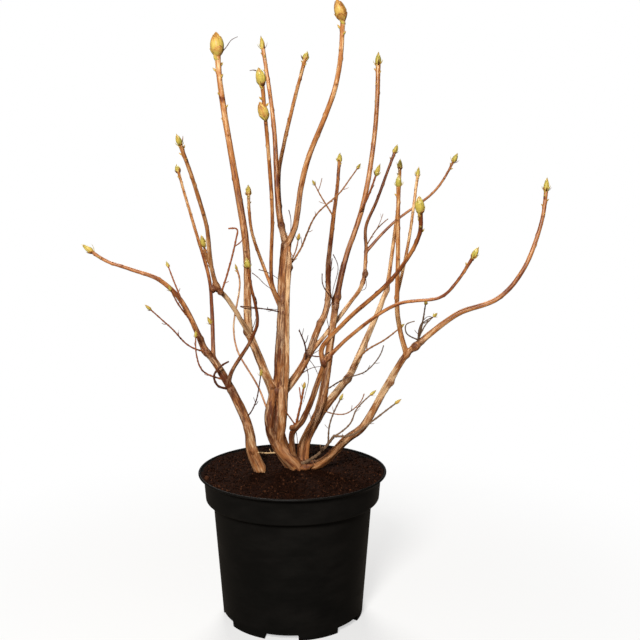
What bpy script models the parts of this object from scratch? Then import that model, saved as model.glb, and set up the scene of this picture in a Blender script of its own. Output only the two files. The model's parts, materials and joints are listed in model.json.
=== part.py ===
"""A bare azalea shrub, its buds just opening, in a round nursery pot.

Metres, +Z up. The origin is the middle of the pot's flat underside, and -Y is the front.
The sizes below are in millimetres, and MM turns them into metres.
"""

import math
import random
from collections import namedtuple

import bmesh
import bpy
from mathutils import Vector

MM = 0.001
GAP = 0.3  # air between two solids that meet

# The pot: a turned shell with a rolled lip, a collar under it and six notches round its foot.
POT_HEIGHT = 149
LIP_RADIUS = 95
LIP_DEPTH = 4.5
COLLAR_TOP_RADIUS = 89.3
COLLAR_FOOT_RADIUS = 87.8
COLLAR_FOOT = 121  # the height of the collar's lower edge
COLLAR_EDGE = 1.5
WALL_TOP_RADIUS = 80.5
WALL_FOOT_RADIUS = 71.5
WALL_THICKNESS = 1.6
STEP_FOOT = COLLAR_FOOT + 1  # the shelf inside, where the wall widens into the collar
STEP_TOP = COLLAR_FOOT + 3.2
FLOOR_THICKNESS = 7.6
POT_STEPS = 48
NOTCHES = 6
NOTCH_WIDTH = 33
NOTCH_HEIGHT = 6
NOTCH_INNER_RADIUS = 50
NOTCH_TURN = -7.5  # degrees from the front to the middle of the first notch
DRAIN_RADIUS = 4
DRAIN_PLACE = 60  # from the pot's axis to the middle of each drain hole

SOIL_LEVEL = 143
SOIL_CROWN = 1.2  # how far the middle of the soil stands above its edge

# The bark: how stems thicken at the foot, and how finely a limb follows its curve.
FLARE = 0.3
FLARE_REACH = 9
SWELL_REACH = 20
PATH_STEP = 3
LONGEST_RUN = 24
SHARPEST_TURN = math.radians(9)
STEM_SIDES = 8
BOUGH_SIDES = 6
TWIG_SIDES = 4
STOUT = 6.5  # a limb thicker than this at its foot has STEM_SIDES sides

# Side twiglets of a spray, dealt out by a seeded rule.
TWIGLET_LENGTHS = (9, 18)
TWIGLET_THINNING = 0.75
TWIGLET_LEAN = math.radians(42)
TWIG_CLEARANCE = 1.5
BUD_SUNK = 0.3  # the share of a bud's length that is sunk in its shoot

Bud = namedtuple("Bud", "length width sides")
Swell = namedtuple("Swell", "along extra")
Limb = namedtuple("Limb", "name grows_from foot tip bud way swell", defaults=(None,))
Twig = namedtuple("Twig", "foot tip bud way")
Spray = namedtuple("Spray", "name grows_from twiglets seed twigs")

FAT_BUD = Bud(26, 12, 2)
ROUND_BUD = Bud(19, 9.5, 2)
SHOOT_BUD = Bud(14, 5.5, 2)
SLIM_BUD = Bud(13, 4.6, 1)
TWIG_BUD = Bud(8, 3, 0)

# Each stem and bough: what it grows from, its diameters at foot and tip, its bud, and the
# few places that it passes where it bends. The first place is on the line of its parent.
LIMBS = (
    Limb("trunk", None, 16, 9.6, None,
         ((5, 14, 143), (-5, 13, 156), (-13, 12, 170), (-18, 10, 187), (-17, 8, 204),
          (-13, 5, 237), (-9, -1, 300), (-8, -6, 347), (-5, -8, 375)),
         Swell(58, 7)),
    Limb("left_stem", None, 12, 6.4, None,
         ((-31, 1, 143), (-41, 0, 168), (-43, -1, 187), (-50, -2, 208),
          (-75, -6, 258), (-86, -8, 272))),
    Limb("left_arch", "left_stem", 5.8, 2.9, SLIM_BUD,
         ((-86, -8, 272), (-99, -15, 307), (-110, -19, 327), (-128, -23, 344), (-154, -26, 354),
          (-176, -28, 362), (-188, -29, 370))),
    Limb("left_back", "left_stem", 4, 2.9, SLIM_BUD,
         ((-78, -6, 264), (-82, 20, 314), (-86, 36, 339), (-105, 74, 389),
          (-120, 106, 426), (-129, 126, 449))),
    Limb("left_loop", "left_stem", 4, 2.4, TWIG_BUD,
         ((-63, -4, 233), (-60, -15, 250), (-38, -38, 287), (-31, -48, 306),
          (-35, -68, 342), (-37, -76, 359))),
    Limb("tall_left", "trunk", 8.6, 5, FAT_BUD,
         ((-16, 6, 219), (-35, -5, 270), (-42, -9, 293), (-43, -17, 372), (-53, -24, 446),
          (-64, -30, 519), (-66, -32, 549))),
    Limb("left_front", "tall_left", 4.7, 3.1, SHOOT_BUD,
         ((-40, -8, 285), (-59, -36, 325), (-68, -49, 339), (-72, -64, 363), (-72, -86, 395),
          (-76, -106, 421), (-86, -138, 464))),
    Limb("thin_riser", "trunk", 2, 1.7, TWIG_BUD,
         ((-19, 9, 185), (-35, 30, 224), (-59, 46, 263), (-63, 52, 286),
          (-57, 64, 332), (-60, 66, 346))),
    Limb("fork_left", "trunk", 6, 3.5, SHOOT_BUD,
         ((-5, -8, 375), (-11, 4, 398), (-14, 10, 421), (-18, 26, 492), (-29, 43, 568))),
    Limb("fork_back", "fork_left", 4.2, 3.8, SHOOT_BUD,
         ((-11, 4, 398), (-14, 38, 444), (-10, 64, 475), (10, 138, 565))),
    Limb("fork_right", "trunk", 5.8, 4, ROUND_BUD,
         ((-5, -8, 375), (3, -15, 391), (10, -26, 432), (17, -34, 458),
          (42, -54, 522), (48, -64, 577))),
    Limb("inner_left", "trunk", 3.6, 3.3, ROUND_BUD,
         ((-9, -3, 318), (-18, -17, 337), (-16, -54, 412), (-21, -104, 516))),
    Limb("inner_short", "trunk", 3.8, 3, SLIM_BUD,
         ((-9, -1, 308), (-22, 14, 336), (-42, 48, 385), (-46, 72, 419))),
    Limb("back_bough", "trunk", 7.8, 3.5, SLIM_BUD,
         ((-14, 6, 221), (11, 22, 252), (25, 46, 284), (35, 66, 307),
          (37, 102, 352), (47, 152, 430), (50, 166, 462))),
    Limb("back_right", "back_bough", 4.9, 2.9, SLIM_BUD,
         ((14, 27, 258), (44, 52, 292), (60, 66, 311), (73, 80, 329), (78, 97, 365), (78, 106, 389),
          (91, 116, 420), (110, 128, 470))),
    Limb("far_right_back", "back_right", 3.2, 2.3, SLIM_BUD,
         ((78, 97, 363), (107, 98, 394), (151, 89, 429), (169, 84, 459))),
    Limb("rear_stem", "trunk", 11.4, 6.4, None,
         ((12, 22, 143), (10, 24, 164), (25, 28, 196), (30, 30, 213),
          (37, 38, 259), (44, 45, 313))),
    Limb("tall_right", "rear_stem", 5.8, 4.5, SHOOT_BUD,
         ((44, 45, 313), (54, 52, 357), (73, 60, 416), (85, 68, 491), (88, 74, 557))),
    Limb("mid_right", "rear_stem", 8.4, 5.5, None,
         ((24, 28, 194), (51, 42, 227), (58, 47, 235), (68, 55, 253), (101, 96, 321))),
    Limb("mid_riser", "mid_right", 4.4, 3.5, SLIM_BUD,
         ((101, 96, 321), (106, 112, 348), (117, 150, 413), (120, 168, 454))),
    Limb("front_stem", "trunk", 6, 4.8, None,
         ((3, 12, 150), (0, 2, 169), (0, -8, 188), (11, -20, 205), (32, -50, 268))),
    Limb("front_right", "front_stem", 4.2, 3.3, ROUND_BUD,
         ((32, -50, 268), (29, -53, 280), (49, -68, 307), (93, -110, 356),
          (110, -134, 391), (110, -142, 409))),
    Limb("front_far", "front_stem", 3.6, 2.6, SLIM_BUD,
         ((32, -50, 268), (55, -62, 294), (97, -84, 327), (134, -96, 335),
          (147, -100, 348), (160, -104, 370))),
    Limb("right_stem", "trunk", 9.6, 6, None,
         ((7, 12, 148), (28, 8, 152), (56, -2, 181), (70, -8, 194),
          (91, -20, 235), (111, -34, 273), (118, -37, 280))),
    Limb("right_arch", "right_stem", 5.7, 3.3, SHOOT_BUD,
         ((118, -37, 280), (157, -44, 313), (194, -47, 328), (218, -42, 354),
          (236, -34, 399), (240, -31, 427))),
    Limb("right_riser", "right_stem", 4.8, 3.5, SLIM_BUD,
         ((111, -34, 272), (101, -45, 312), (99, -62, 370), (97, -82, 431))),
    Limb("right_slender", "right_riser", 3, 2.7, SLIM_BUD,
         ((99, -50, 329), (110, -26, 368), (124, 14, 442))),
)

# The fine twigs, a spray to a node: the limb it grows from, how many seeded side twiglets it
# bears, its seed, and its twigs, the first of which is the stem that carries the others.
SPRAYS = (
    Spray("low_right_spray", "trunk", 2, 11, (
        Twig(3.2, 2.4, None, ((7, 8, 151), (17, -1, 158), (28, -12, 169), (42, -27, 191))),
        Twig(1.6, 1.2, TWIG_BUD, ((36, -21, 182), (38, -30, 205), (47, -38, 229))),
        Twig(1.7, 1.2, TWIG_BUD, ((40, -25, 188), (57, -22, 201), (64, -14, 214), (78, -8, 227))),
        Twig(2, 1.4, TWIG_BUD, ((41, -26, 190), (59, -38, 195), (78, -44, 210), (99, -50, 228))))),
    Spray("right_knot_spray", "right_arch", 1, 12, (
        Twig(2.2, 1.3, TWIG_BUD, ((122, -38, 283), (121, -42, 289), (122, -58, 303), (123, -78, 326))),
        Twig(1.5, 1.1, None, ((121, -41, 288), (108, -58, 297), (107, -66, 306), (114, -72, 310))),
        Twig(1.6, 1.2, TWIG_BUD, ((121, -41, 288), (128, -30, 299), (138, -18, 307))),
        Twig(1.5, 1.1, None, ((121, -41, 288), (126, -24, 300), (138, -8, 305))))),
    Spray("left_outer_twig", "left_stem", 1, 13, (
        Twig(1.9, 1.4, TWIG_BUD, ((-83, -8, 270), (-100, -24, 280), (-113, -38, 298), (-130, -52, 318))),)),
    Spray("left_pale_twig", "left_stem", 1, 14, (
        Twig(2, 1.4, TWIG_BUD, ((-67, -5, 242), (-87, -17, 253), (-92, -24, 270), (-92, -28, 288))),)),
    Spray("arch_back_twig", "left_arch", 0, 15, (
        Twig(1.9, 1.5, TWIG_BUD, ((-104, -17, 317), (-115, -2, 337), (-123, 10, 353))),)),
    Spray("arch_front_twig", "left_arch", 0, 16, (
        Twig(1.9, 1.5, TWIG_BUD, ((-97, -14, 301), (-106, -30, 318), (-112, -44, 335))),)),
    Spray("left_curl", "left_stem", 0, 17, (
        Twig(2.3, 1.7, None, ((-62, -4, 233), (-73, -15, 238), (-76, -18, 249), (-69, -17, 258),
                              (-62, -14, 262))),)),
    Spray("left_low_twig", "left_stem", 1, 18, (
        Twig(1.5, 1.2, TWIG_BUD, ((-47, -1, 201), (-37, -12, 218), (-30, -24, 250))),)),
    Spray("hooked_twig", "left_front", 1, 19, (
        Twig(1.8, 1.4, None, ((-65, -44, 333), (-56, -52, 359), (-49, -60, 387), (-55, -64, 394))),)),
    Spray("left_front_shoot", "left_front", 0, 20, (
        Twig(2.6, 2.2, SLIM_BUD, ((-72, -60, 358), (-76, -72, 373), (-78, -79, 385))),)),
    Spray("dry_straw", "trunk", 0, 21, (
        Twig(1.9, 1.5, None, ((-9, 12, 163), (-27, 4, 164), (-34, -11, 169))),)),
    Spray("mid_climber", "trunk", 1, 22, (
        Twig(2.2, 1.5, TWIG_BUD, ((-7, -6, 350), (8, 8, 370), (23, 28, 403), (49, 46, 428), (66, 58, 451))),
        Twig(1.6, 1.3, TWIG_BUD, ((-3, -3, 356), (4, -14, 370), (7, -22, 382))))),
    Spray("back_side_twig", "back_bough", 1, 23, (
        Twig(2, 1.5, TWIG_BUD, ((42, 135, 402), (31, 142, 420), (22, 152, 436))),)),
    Spray("tall_side_shoot", "tall_right", 0, 24, (
        Twig(2.6, 2.2, SLIM_BUD, ((69, 59, 405), (77, 40, 424), (84, 30, 444))),)),
    Spray("back_fine_twig", "back_right", 1, 25, (
        Twig(1.6, 1.2, None, ((78, 99, 369), (90, 116, 386), (104, 130, 398))),)),
    Spray("front_riser", "front_stem", 1, 26, (
        Twig(2.5, 1.8, TWIG_BUD, ((3, -12, 193), (8, -24, 218), (12, -32, 239))),
        Twig(1.5, 1.1, None, ((4, -14, 197), (-2, -22, 208), (-6, -28, 216))))),
    Spray("back_knot_twigs", "back_bough", 1, 27, (
        Twig(2, 1.3, None, ((13, 24, 255), (13, 10, 274), (7, 0, 291))),
        Twig(1.6, 1.2, None, ((13, 17, 264), (27, 14, 262), (37, 6, 268))))),
    Spray("mid_right_spray", "mid_right", 1, 28, (
        Twig(2.3, 1.6, TWIG_BUD, ((63, 50, 243), (74, 34, 263), (94, 22, 278), (108, 14, 291))),)),
    Spray("rear_low_spray", "rear_stem", 1, 29, (
        Twig(1.7, 1.2, None, ((32, 32, 222), (53, 14, 239), (74, 4, 249), (87, 0, 265), (91, -2, 276))),)),
    Spray("rear_fine_twig", "mid_right", 1, 30, (
        Twig(1.5, 1.1, None, ((30, 31, 202), (53, 12, 203), (68, 2, 217), (72, -2, 227))),)),
    Spray("trunk_fine_twig", "trunk", 1, 31, (
        Twig(1.5, 1.1, None, ((-9, -2, 309), (-28, -20, 315), (-48, -32, 319))),)),
    Spray("rear_knot_twigs", "rear_stem", 1, 32, (
        Twig(1.6, 1.1, None, ((43, 44, 308), (38, 30, 330), (40, 20, 361))),
        Twig(1.4, 1.1, None, ((41, 37, 318), (31, 30, 333), (30, 30, 345))))),
)


# ---- Curves -------------------------------------------------------------------------------


def smooth_path(way):
    """Points about PATH_STEP apart on a smooth curve through the places of a way, in mm."""
    places = [Vector(place) for place in way]
    knots = [0.0]
    for here, there in zip(places, places[1:]):
        knots.append(knots[-1] + math.sqrt((there - here).length))
    slopes = [(b - a) / (t - s) for a, b, s, t in zip(places, places[1:], knots, knots[1:])]
    tangents = [Vector() for _ in places]
    for i in range(1, len(places) - 1):
        before = knots[i] - knots[i - 1]
        after = knots[i + 1] - knots[i]
        tangents[i] = (slopes[i - 1] * after + slopes[i] * before) / (before + after)
    tangents[0] = 1.5 * slopes[0] - 0.5 * tangents[1]
    tangents[-1] = 1.5 * slopes[-1] - 0.5 * tangents[-2]
    points = []
    for i in range(len(places) - 1):
        span = knots[i + 1] - knots[i]
        steps = max(1, round((places[i + 1] - places[i]).length / PATH_STEP))
        for k in range(steps):
            t = k / steps
            points.append(
                (2 * t**3 - 3 * t**2 + 1) * places[i]
                + (t**3 - 2 * t**2 + t) * span * tangents[i]
                + (3 * t**2 - 2 * t**3) * places[i + 1]
                + (t**3 - t**2) * span * tangents[i + 1]
            )
    points.append(places[-1])
    return points


def lengths_along(points):
    """How far along the path each point lies."""
    lengths = [0.0]
    for here, there in zip(points, points[1:]):
        lengths.append(lengths[-1] + (there - here).length)
    return lengths


def taper(points, foot, tip, flared=False, swell=None):
    """The radius at each point: an even taper, wider where it leaves the ground or swells."""
    lengths = lengths_along(points)
    radii = []
    for length in lengths:
        radius = (foot + (tip - foot) * length / lengths[-1]) / 2
        if flared:
            radius *= 1 + FLARE * math.exp(-length / FLARE_REACH)
        if swell:
            radius += swell.extra / 2 * math.exp(-(((length - swell.along) / SWELL_REACH) ** 2))
        radii.append(radius)
    return radii


def thinned(points, radii):
    """Only the points that the curve needs: where it has turned enough, or a long run ends."""
    kept = [0]
    turned = 0.0
    run = 0.0
    for i in range(1, len(points) - 1):
        before = points[i] - points[i - 1]
        after = points[i + 1] - points[i]
        turned += before.angle(after)
        run += before.length
        if turned > SHARPEST_TURN or run > LONGEST_RUN:
            kept.append(i)
            turned = 0.0
            run = 0.0
    kept.append(len(points) - 1)
    return [points[i] for i in kept], [radii[i] for i in kept]


def lengthened(points, at_start, at_end):
    """The path carried straight on past its ends."""
    first = points[0] + (points[0] - points[1]).normalized() * at_start
    last = points[-1] + (points[-1] - points[-2]).normalized() * at_end
    return [first] + points[1:-1] + [last]


# ---- Meshes -------------------------------------------------------------------------------


def mesh_object(name, mesh, collection):
    obj = bpy.data.objects.new(name, mesh)
    collection.objects.link(obj)
    return obj


def welded_mesh(curve_object):
    """The mesh of a bevelled curve, with its caps joined to its sides."""
    graph = bpy.context.evaluated_depsgraph_get()
    mesh = bpy.data.meshes.new_from_object(curve_object.evaluated_get(graph))
    shape = bmesh.new()
    shape.from_mesh(mesh)
    bmesh.ops.remove_doubles(shape, verts=shape.verts, dist=1e-6)
    bmesh.ops.recalc_face_normals(shape, faces=shape.faces)
    shape.to_mesh(mesh)
    shape.free()
    return mesh


def tube(name, points, radii, sides, collection):
    """A closed tapering tube along points in mm."""
    curve = bpy.data.curves.new(name, "CURVE")
    curve.dimensions = "3D"
    curve.bevel_depth = 1.0
    curve.bevel_resolution = (sides - 4) // 2
    curve.use_fill_caps = True
    spline = curve.splines.new("POLY")
    spline.points.add(len(points) - 1)
    for place, point, radius in zip(spline.points, points, radii):
        place.co = (*(point * MM), 1.0)
        place.radius = radius * MM
    guide = bpy.data.objects.new(name + "_line", curve)
    collection.objects.link(guide)
    bpy.context.view_layer.update()
    obj = mesh_object(name, welded_mesh(guide), collection)
    bpy.data.objects.remove(guide)
    bpy.data.curves.remove(curve)
    return obj


def bud_object(name, bud, base, direction, collection):
    """A bud: an egg drawn out to a point along its direction."""
    shape = bmesh.new()
    bmesh.ops.create_uvsphere(shape, u_segments=6, v_segments=5, radius=0.5)
    for vertex in shape.verts:
        height = vertex.co.z + 0.5
        narrowing = 1.12 - 0.75 * height**2
        vertex.co.x *= bud.width * narrowing * MM
        vertex.co.y *= bud.width * narrowing * MM
        vertex.co.z = (height - BUD_SUNK) * bud.length / (1 - BUD_SUNK) * MM
    turn = direction.to_track_quat("Z", "Y").to_matrix().to_4x4()
    bmesh.ops.transform(shape, matrix=turn, verts=shape.verts)
    bmesh.ops.translate(shape, vec=base * MM, verts=shape.verts)
    mesh = bpy.data.meshes.new(name)
    shape.to_mesh(mesh)
    shape.free()
    return mesh_object(name, mesh, collection)


def with_boolean(obj, operation, others, helpers, solver="EXACT"):
    """Joins or cuts obj with a collection of other objects, applies that and removes them."""
    group = bpy.data.collections.new("boolean_operands")
    helpers.children.link(group)
    for other in others:
        group.objects.link(other)
    modifier = obj.modifiers.new(operation.title(), "BOOLEAN")
    modifier.operation = operation
    modifier.operand_type = "COLLECTION"
    modifier.collection = group
    modifier.solver = solver
    bpy.context.view_layer.update()
    graph = bpy.context.evaluated_depsgraph_get()
    mesh = bpy.data.meshes.new_from_object(obj.evaluated_get(graph))
    obj.modifiers.clear()
    obj.data = mesh
    for other in others:
        bpy.data.objects.remove(other)
    bpy.data.collections.remove(group)


def keep_largest_body(obj):
    """Drops the scraps that a cut leaves apart from the limb."""
    shape = bmesh.new()
    shape.from_mesh(obj.data)
    unseen = set(shape.verts)
    bodies = []
    while unseen:
        body = set()
        front = [unseen.pop()]
        while front:
            vertex = front.pop()
            body.add(vertex)
            for edge in vertex.link_edges:
                other = edge.other_vert(vertex)
                if other in unseen:
                    unseen.remove(other)
                    front.append(other)
        bodies.append(body)
    bodies.sort(key=len)
    scraps = [vertex for body in bodies[:-1] for vertex in body]
    bmesh.ops.delete(shape, geom=scraps, context="VERTS")
    shape.to_mesh(obj.data)
    shape.free()


def cut_level(obj, level):
    """A flat cut, level with the ground, with its section closed."""
    shape = bmesh.new()
    shape.from_mesh(obj.data)
    everything = shape.verts[:] + shape.edges[:] + shape.faces[:]
    cut = bmesh.ops.bisect_plane(
        shape, geom=everything, plane_co=(0, 0, level * MM), plane_no=(0, 0, -1), clear_outer=True
    )
    rim = [edge for edge in cut["geom_cut"] if isinstance(edge, bmesh.types.BMEdge)]
    bmesh.ops.contextual_create(shape, geom=rim)
    bmesh.ops.recalc_face_normals(shape, faces=shape.faces)
    shape.to_mesh(obj.data)
    shape.free()


# ---- Materials ----------------------------------------------------------------------------


def plain_material(name, color, roughness):
    material = bpy.data.materials.new(name)
    material.use_nodes = True
    shader = material.node_tree.nodes["Principled BSDF"]
    shader.inputs["Base Color"].default_value = (*color, 1)
    shader.inputs["Roughness"].default_value = roughness
    shader.inputs["Metallic"].default_value = 0
    return material


def pot_plastic():
    return plain_material("pot_plastic", (0.012, 0.012, 0.012), 0.45)


def peat():
    return plain_material("peat", (0.03, 0.014, 0.009), 0.95)


def stem_bark():
    return plain_material("stem_bark", (0.36, 0.19, 0.1), 0.75)


def shoot_bark():
    return plain_material("shoot_bark", (0.42, 0.17, 0.06), 0.5)


def twig_bark():
    return plain_material("twig_bark", (0.2, 0.09, 0.05), 0.65)


# ---- The pot and its soil -----------------------------------------------------------------


def turned(name, profile, collection):
    """A solid of revolution from a section of (radius, height) in mm, from axis to axis."""
    mesh = bpy.data.meshes.new(name)
    points = [(radius * MM, 0, height * MM) for radius, height in profile]
    edges = [(i, i + 1) for i in range(len(points) - 1)]
    mesh.from_pydata(points, edges, [])
    obj = mesh_object(name, mesh, collection)
    screw = obj.modifiers.new("Screw", "SCREW")
    screw.axis = "Z"
    screw.angle = math.tau
    screw.steps = POT_STEPS
    screw.render_steps = POT_STEPS
    screw.use_merge_vertices = True
    screw.merge_threshold = 1e-5
    screw.use_smooth_shade = True
    bpy.context.view_layer.update()
    graph = bpy.context.evaluated_depsgraph_get()
    solid = bpy.data.meshes.new_from_object(obj.evaluated_get(graph))
    obj.modifiers.clear()
    obj.data = solid
    return obj


def wall_inside(height):
    """The inner radius of the tapering wall at a height."""
    share = height / COLLAR_FOOT
    return WALL_FOOT_RADIUS + (WALL_TOP_RADIUS - WALL_FOOT_RADIUS) * share - WALL_THICKNESS


def collar_inside():
    return COLLAR_FOOT_RADIUS - WALL_THICKNESS


def lip_arc():
    """The rolled lip's round edge, from its top face to its underside."""
    half = LIP_DEPTH / 2
    middle = POT_HEIGHT - half
    turns = [math.radians(angle) for angle in (60, 20, -20, -60)]
    return [(LIP_RADIUS - half + half * math.cos(turn), middle + half * math.sin(turn)) for turn in turns]


def pot_profile():
    """The shell's section, up the inside, over the lip and down the outside."""
    inside = [
        (0, FLOOR_THICKNESS),
        (wall_inside(FLOOR_THICKNESS), FLOOR_THICKNESS),
        (wall_inside(STEP_FOOT), STEP_FOOT),
        (collar_inside(), STEP_TOP),
        (collar_inside(), POT_HEIGHT - 1),
        (collar_inside() + 1, POT_HEIGHT),
    ]
    outside = [
        (COLLAR_TOP_RADIUS, POT_HEIGHT - LIP_DEPTH),
        (COLLAR_FOOT_RADIUS, COLLAR_FOOT + COLLAR_EDGE),
        (COLLAR_FOOT_RADIUS - COLLAR_EDGE, COLLAR_FOOT),
        (WALL_TOP_RADIUS, COLLAR_FOOT),
        (WALL_FOOT_RADIUS, 0),
        (0, 0),
    ]
    return inside + lip_arc() + outside


def foot_cutters(collection):
    """Six slots in the rim of the foot, each with a drain hole at its inner end."""
    cutters = []
    slot_length = LIP_RADIUS - NOTCH_INNER_RADIUS
    for i in range(NOTCHES):
        turn = math.radians(NOTCH_TURN + i * 360 / NOTCHES)
        outwards = Vector((math.sin(turn), -math.cos(turn), 0))
        bpy.ops.mesh.primitive_cube_add(size=1)
        slot = bpy.context.object
        slot.name = f"slot_{i}"
        slot.scale = (NOTCH_WIDTH * MM, slot_length * MM, 2 * NOTCH_HEIGHT * MM)
        slot.rotation_euler.z = turn
        slot.location = outwards * (NOTCH_INNER_RADIUS + slot_length / 2) * MM
        through = 4 * FLOOR_THICKNESS * MM
        bpy.ops.mesh.primitive_cylinder_add(vertices=12, radius=DRAIN_RADIUS * MM, depth=through)
        drain = bpy.context.object
        drain.name = f"drain_{i}"
        drain.location = outwards * DRAIN_PLACE * MM
        for cutter in (slot, drain):
            for home in list(cutter.users_collection):
                home.objects.unlink(cutter)
            collection.objects.link(cutter)
            cutter.hide_render = True
            cutter.display_type = "WIRE"
            cutters.append(cutter)
    return cutters


def build_pot(parts, helpers):
    pot = turned("pot", pot_profile(), parts)
    with_boolean(pot, "DIFFERENCE", foot_cutters(helpers), helpers)
    pot.data.materials.append(pot_plastic())


def build_soil(parts):
    """Peat that fills the pot, a little proud in the middle."""
    floor = FLOOR_THICKNESS + GAP
    clear = 1.5 * GAP
    profile = [
        (0, SOIL_LEVEL + SOIL_CROWN),
        (collar_inside() / 2, SOIL_LEVEL + SOIL_CROWN),
        (collar_inside() - clear, SOIL_LEVEL),
        (collar_inside() - clear, STEP_TOP + clear),
        (wall_inside(STEP_FOOT) - clear, STEP_FOOT + clear),
        (wall_inside(floor) - clear, floor),
        (0, floor),
    ]
    soil = turned("soil", profile, parts)
    soil.data.materials.append(peat())


# ---- The plant ----------------------------------------------------------------------------


def nearest(points, place):
    """The index of the path's point that lies nearest to a place."""
    return min(range(len(points)), key=lambda i: (points[i] - place).length)


class Plant:
    """The limbs built so far, with the path and radii of each, for what grows from them."""

    def __init__(self, parts, helpers):
        self.parts = parts
        self.helpers = helpers
        self.paths = {}
        self.sides = {}

    def ground(self):
        return SOIL_LEVEL + SOIL_CROWN + GAP

    def sleeve(self, name):
        """The limb's own tube, GAP larger all round, which cuts what grows from it."""
        points, radii = self.paths[name]
        sides = self.sides[name]
        wider = GAP / math.cos(math.pi / sides)
        points, radii = thinned(points, radii)
        wide_radii = [radius + wider for radius in radii]
        return tube(name + "_sleeve", lengthened(points, 0, GAP), wide_radii, sides, self.helpers)

    def foot_cutters(self, name, grows_from, start):
        """Sleeves of the parent, and of the limbs that leave it at the same place."""
        cutters = [self.sleeve(grows_from)]
        for other in LIMBS:
            if other.name == name or other.name not in self.paths:
                continue
            near = (Vector(other.way[0]) - start).length < other.foot / 2 + 8
            if other.name != grows_from and near:
                cutters.append(self.sleeve(other.name))
        return cutters

    def add_limb(self, limb):
        points = smooth_path(limb.way)
        from_ground = limb.way[0][2] <= SOIL_LEVEL
        if from_ground:
            points = lengthened(points, 8, 0)
        radii = taper(points, limb.foot, limb.tip, from_ground, limb.swell)
        sides = STEM_SIDES if limb.foot > STOUT else BOUGH_SIDES
        self.paths[limb.name] = (points, radii)
        self.sides[limb.name] = sides
        fewer, few_radii = thinned(points, radii)
        obj = tube(limb.name, fewer, few_radii, sides, self.parts)
        if limb.grows_from:
            cutters = self.foot_cutters(limb.name, limb.grows_from, Vector(limb.way[0]))
            with_boolean(obj, "DIFFERENCE", cutters, self.helpers)
            keep_largest_body(obj)
        if min(point.z - radius for point, radius in zip(points, radii)) < self.ground():
            cut_level(obj, self.ground())
        if limb.bud:
            with_boolean(obj, "UNION", self.tip_buds(points, limb.bud), self.helpers)
        bark = stem_bark if sides == STEM_SIDES else shoot_bark
        obj.data.materials.clear()
        obj.data.materials.append(bark())

    def tip_buds(self, points, bud):
        """The bud at a shoot's tip, and the smaller ones that crowd under it."""
        direction = (points[-1] - points[-2]).normalized()
        buds = [bud_object("bud", bud, points[-1], direction, self.helpers)]
        across = direction.orthogonal().normalized()
        for k in range(bud.sides):
            outwards = (across * math.cos(math.pi * k) + direction * 0.9).normalized()
            small = Bud(bud.length * 0.5, bud.width * 0.55, 0)
            base = points[-1] - direction * bud.width * (0.1 + 0.35 * k)
            buds.append(bud_object("side_bud", small, base, outwards, self.helpers))
        return buds

    def clear_of_limbs(self, places):
        """Whether a twig keeps TWIG_CLEARANCE from every limb."""
        for points, radii in self.paths.values():
            for place in places:
                i = nearest(points, place)
                if (points[i] - place).length < radii[i] + TWIG_CLEARANCE:
                    return False
        return True

    def seeded_twiglets(self, spray):
        """Side twiglets of the spray's stem, leaving out any that would touch a limb."""
        rng = random.Random(spray.seed)
        stem = spray.twigs[0]
        points = smooth_path(stem.way)
        found = []
        for _ in range(spray.twiglets):
            i = round((0.35 + 0.5 * rng.random()) * (len(points) - 2))
            forwards = (points[i + 1] - points[i]).normalized()
            across = forwards.orthogonal().normalized()
            around = rng.random() * math.tau
            side = across * math.cos(around) + forwards.cross(across) * math.sin(around)
            direction = forwards * math.cos(TWIGLET_LEAN) + side * math.sin(TWIGLET_LEAN)
            length = TWIGLET_LENGTHS[0] + rng.random() * (TWIGLET_LENGTHS[1] - TWIGLET_LENGTHS[0])
            bend = Vector((0, 0, 0.2 * length))
            way = (points[i], points[i] + direction * length / 2, points[i] + direction * length + bend)
            if self.clear_of_limbs(way[1:]):
                found.append(Twig(stem.tip * TWIGLET_THINNING, stem.tip * TWIGLET_THINNING**2, None, way))
        return found

    def add_spray(self, spray):
        pieces = []
        for k, twig in enumerate(list(spray.twigs) + self.seeded_twiglets(spray)):
            points = smooth_path(twig.way)
            radii = taper(points, twig.foot, twig.tip)
            fewer, few_radii = thinned(points, radii)
            pieces.append(tube(f"{spray.name}_{k}", fewer, few_radii, TWIG_SIDES, self.helpers))
            if twig.bud:
                pieces += self.tip_buds(points, twig.bud)
        stem = pieces.pop(0)
        stem.name = spray.name
        self.helpers.objects.unlink(stem)
        self.parts.objects.link(stem)
        if pieces:
            with_boolean(stem, "UNION", pieces, self.helpers)
        cutters = self.foot_cutters(spray.name, spray.grows_from, Vector(spray.twigs[0].way[0]))
        with_boolean(stem, "DIFFERENCE", cutters, self.helpers)
        keep_largest_body(stem)
        stem.data.materials.clear()
        stem.data.materials.append(twig_bark())


def cleared_scene():
    for obj in list(bpy.data.objects):
        bpy.data.objects.remove(obj)


def new_collection(name):
    collection = bpy.data.collections.new(name)
    bpy.context.scene.collection.children.link(collection)
    return collection


def main():
    cleared_scene()
    parts = new_collection("azalea_in_pot")
    helpers = new_collection("cutters")
    build_pot(parts, helpers)
    build_soil(parts)
    plant = Plant(parts, helpers)
    for limb in LIMBS:
        plant.add_limb(limb)
    for spray in SPRAYS:
        plant.add_spray(spray)


main()
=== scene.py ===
"""The looks of the potted azalea: its bark, buds, fine twigs, peat and pot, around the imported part.

Sizes are in millimetres, and MM turns them into Blender's metres. -Y is the front.
"""

import json
import math
import random
from collections import namedtuple

import bmesh
import bpy
import numpy as np
from mathutils import Matrix, Vector

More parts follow.
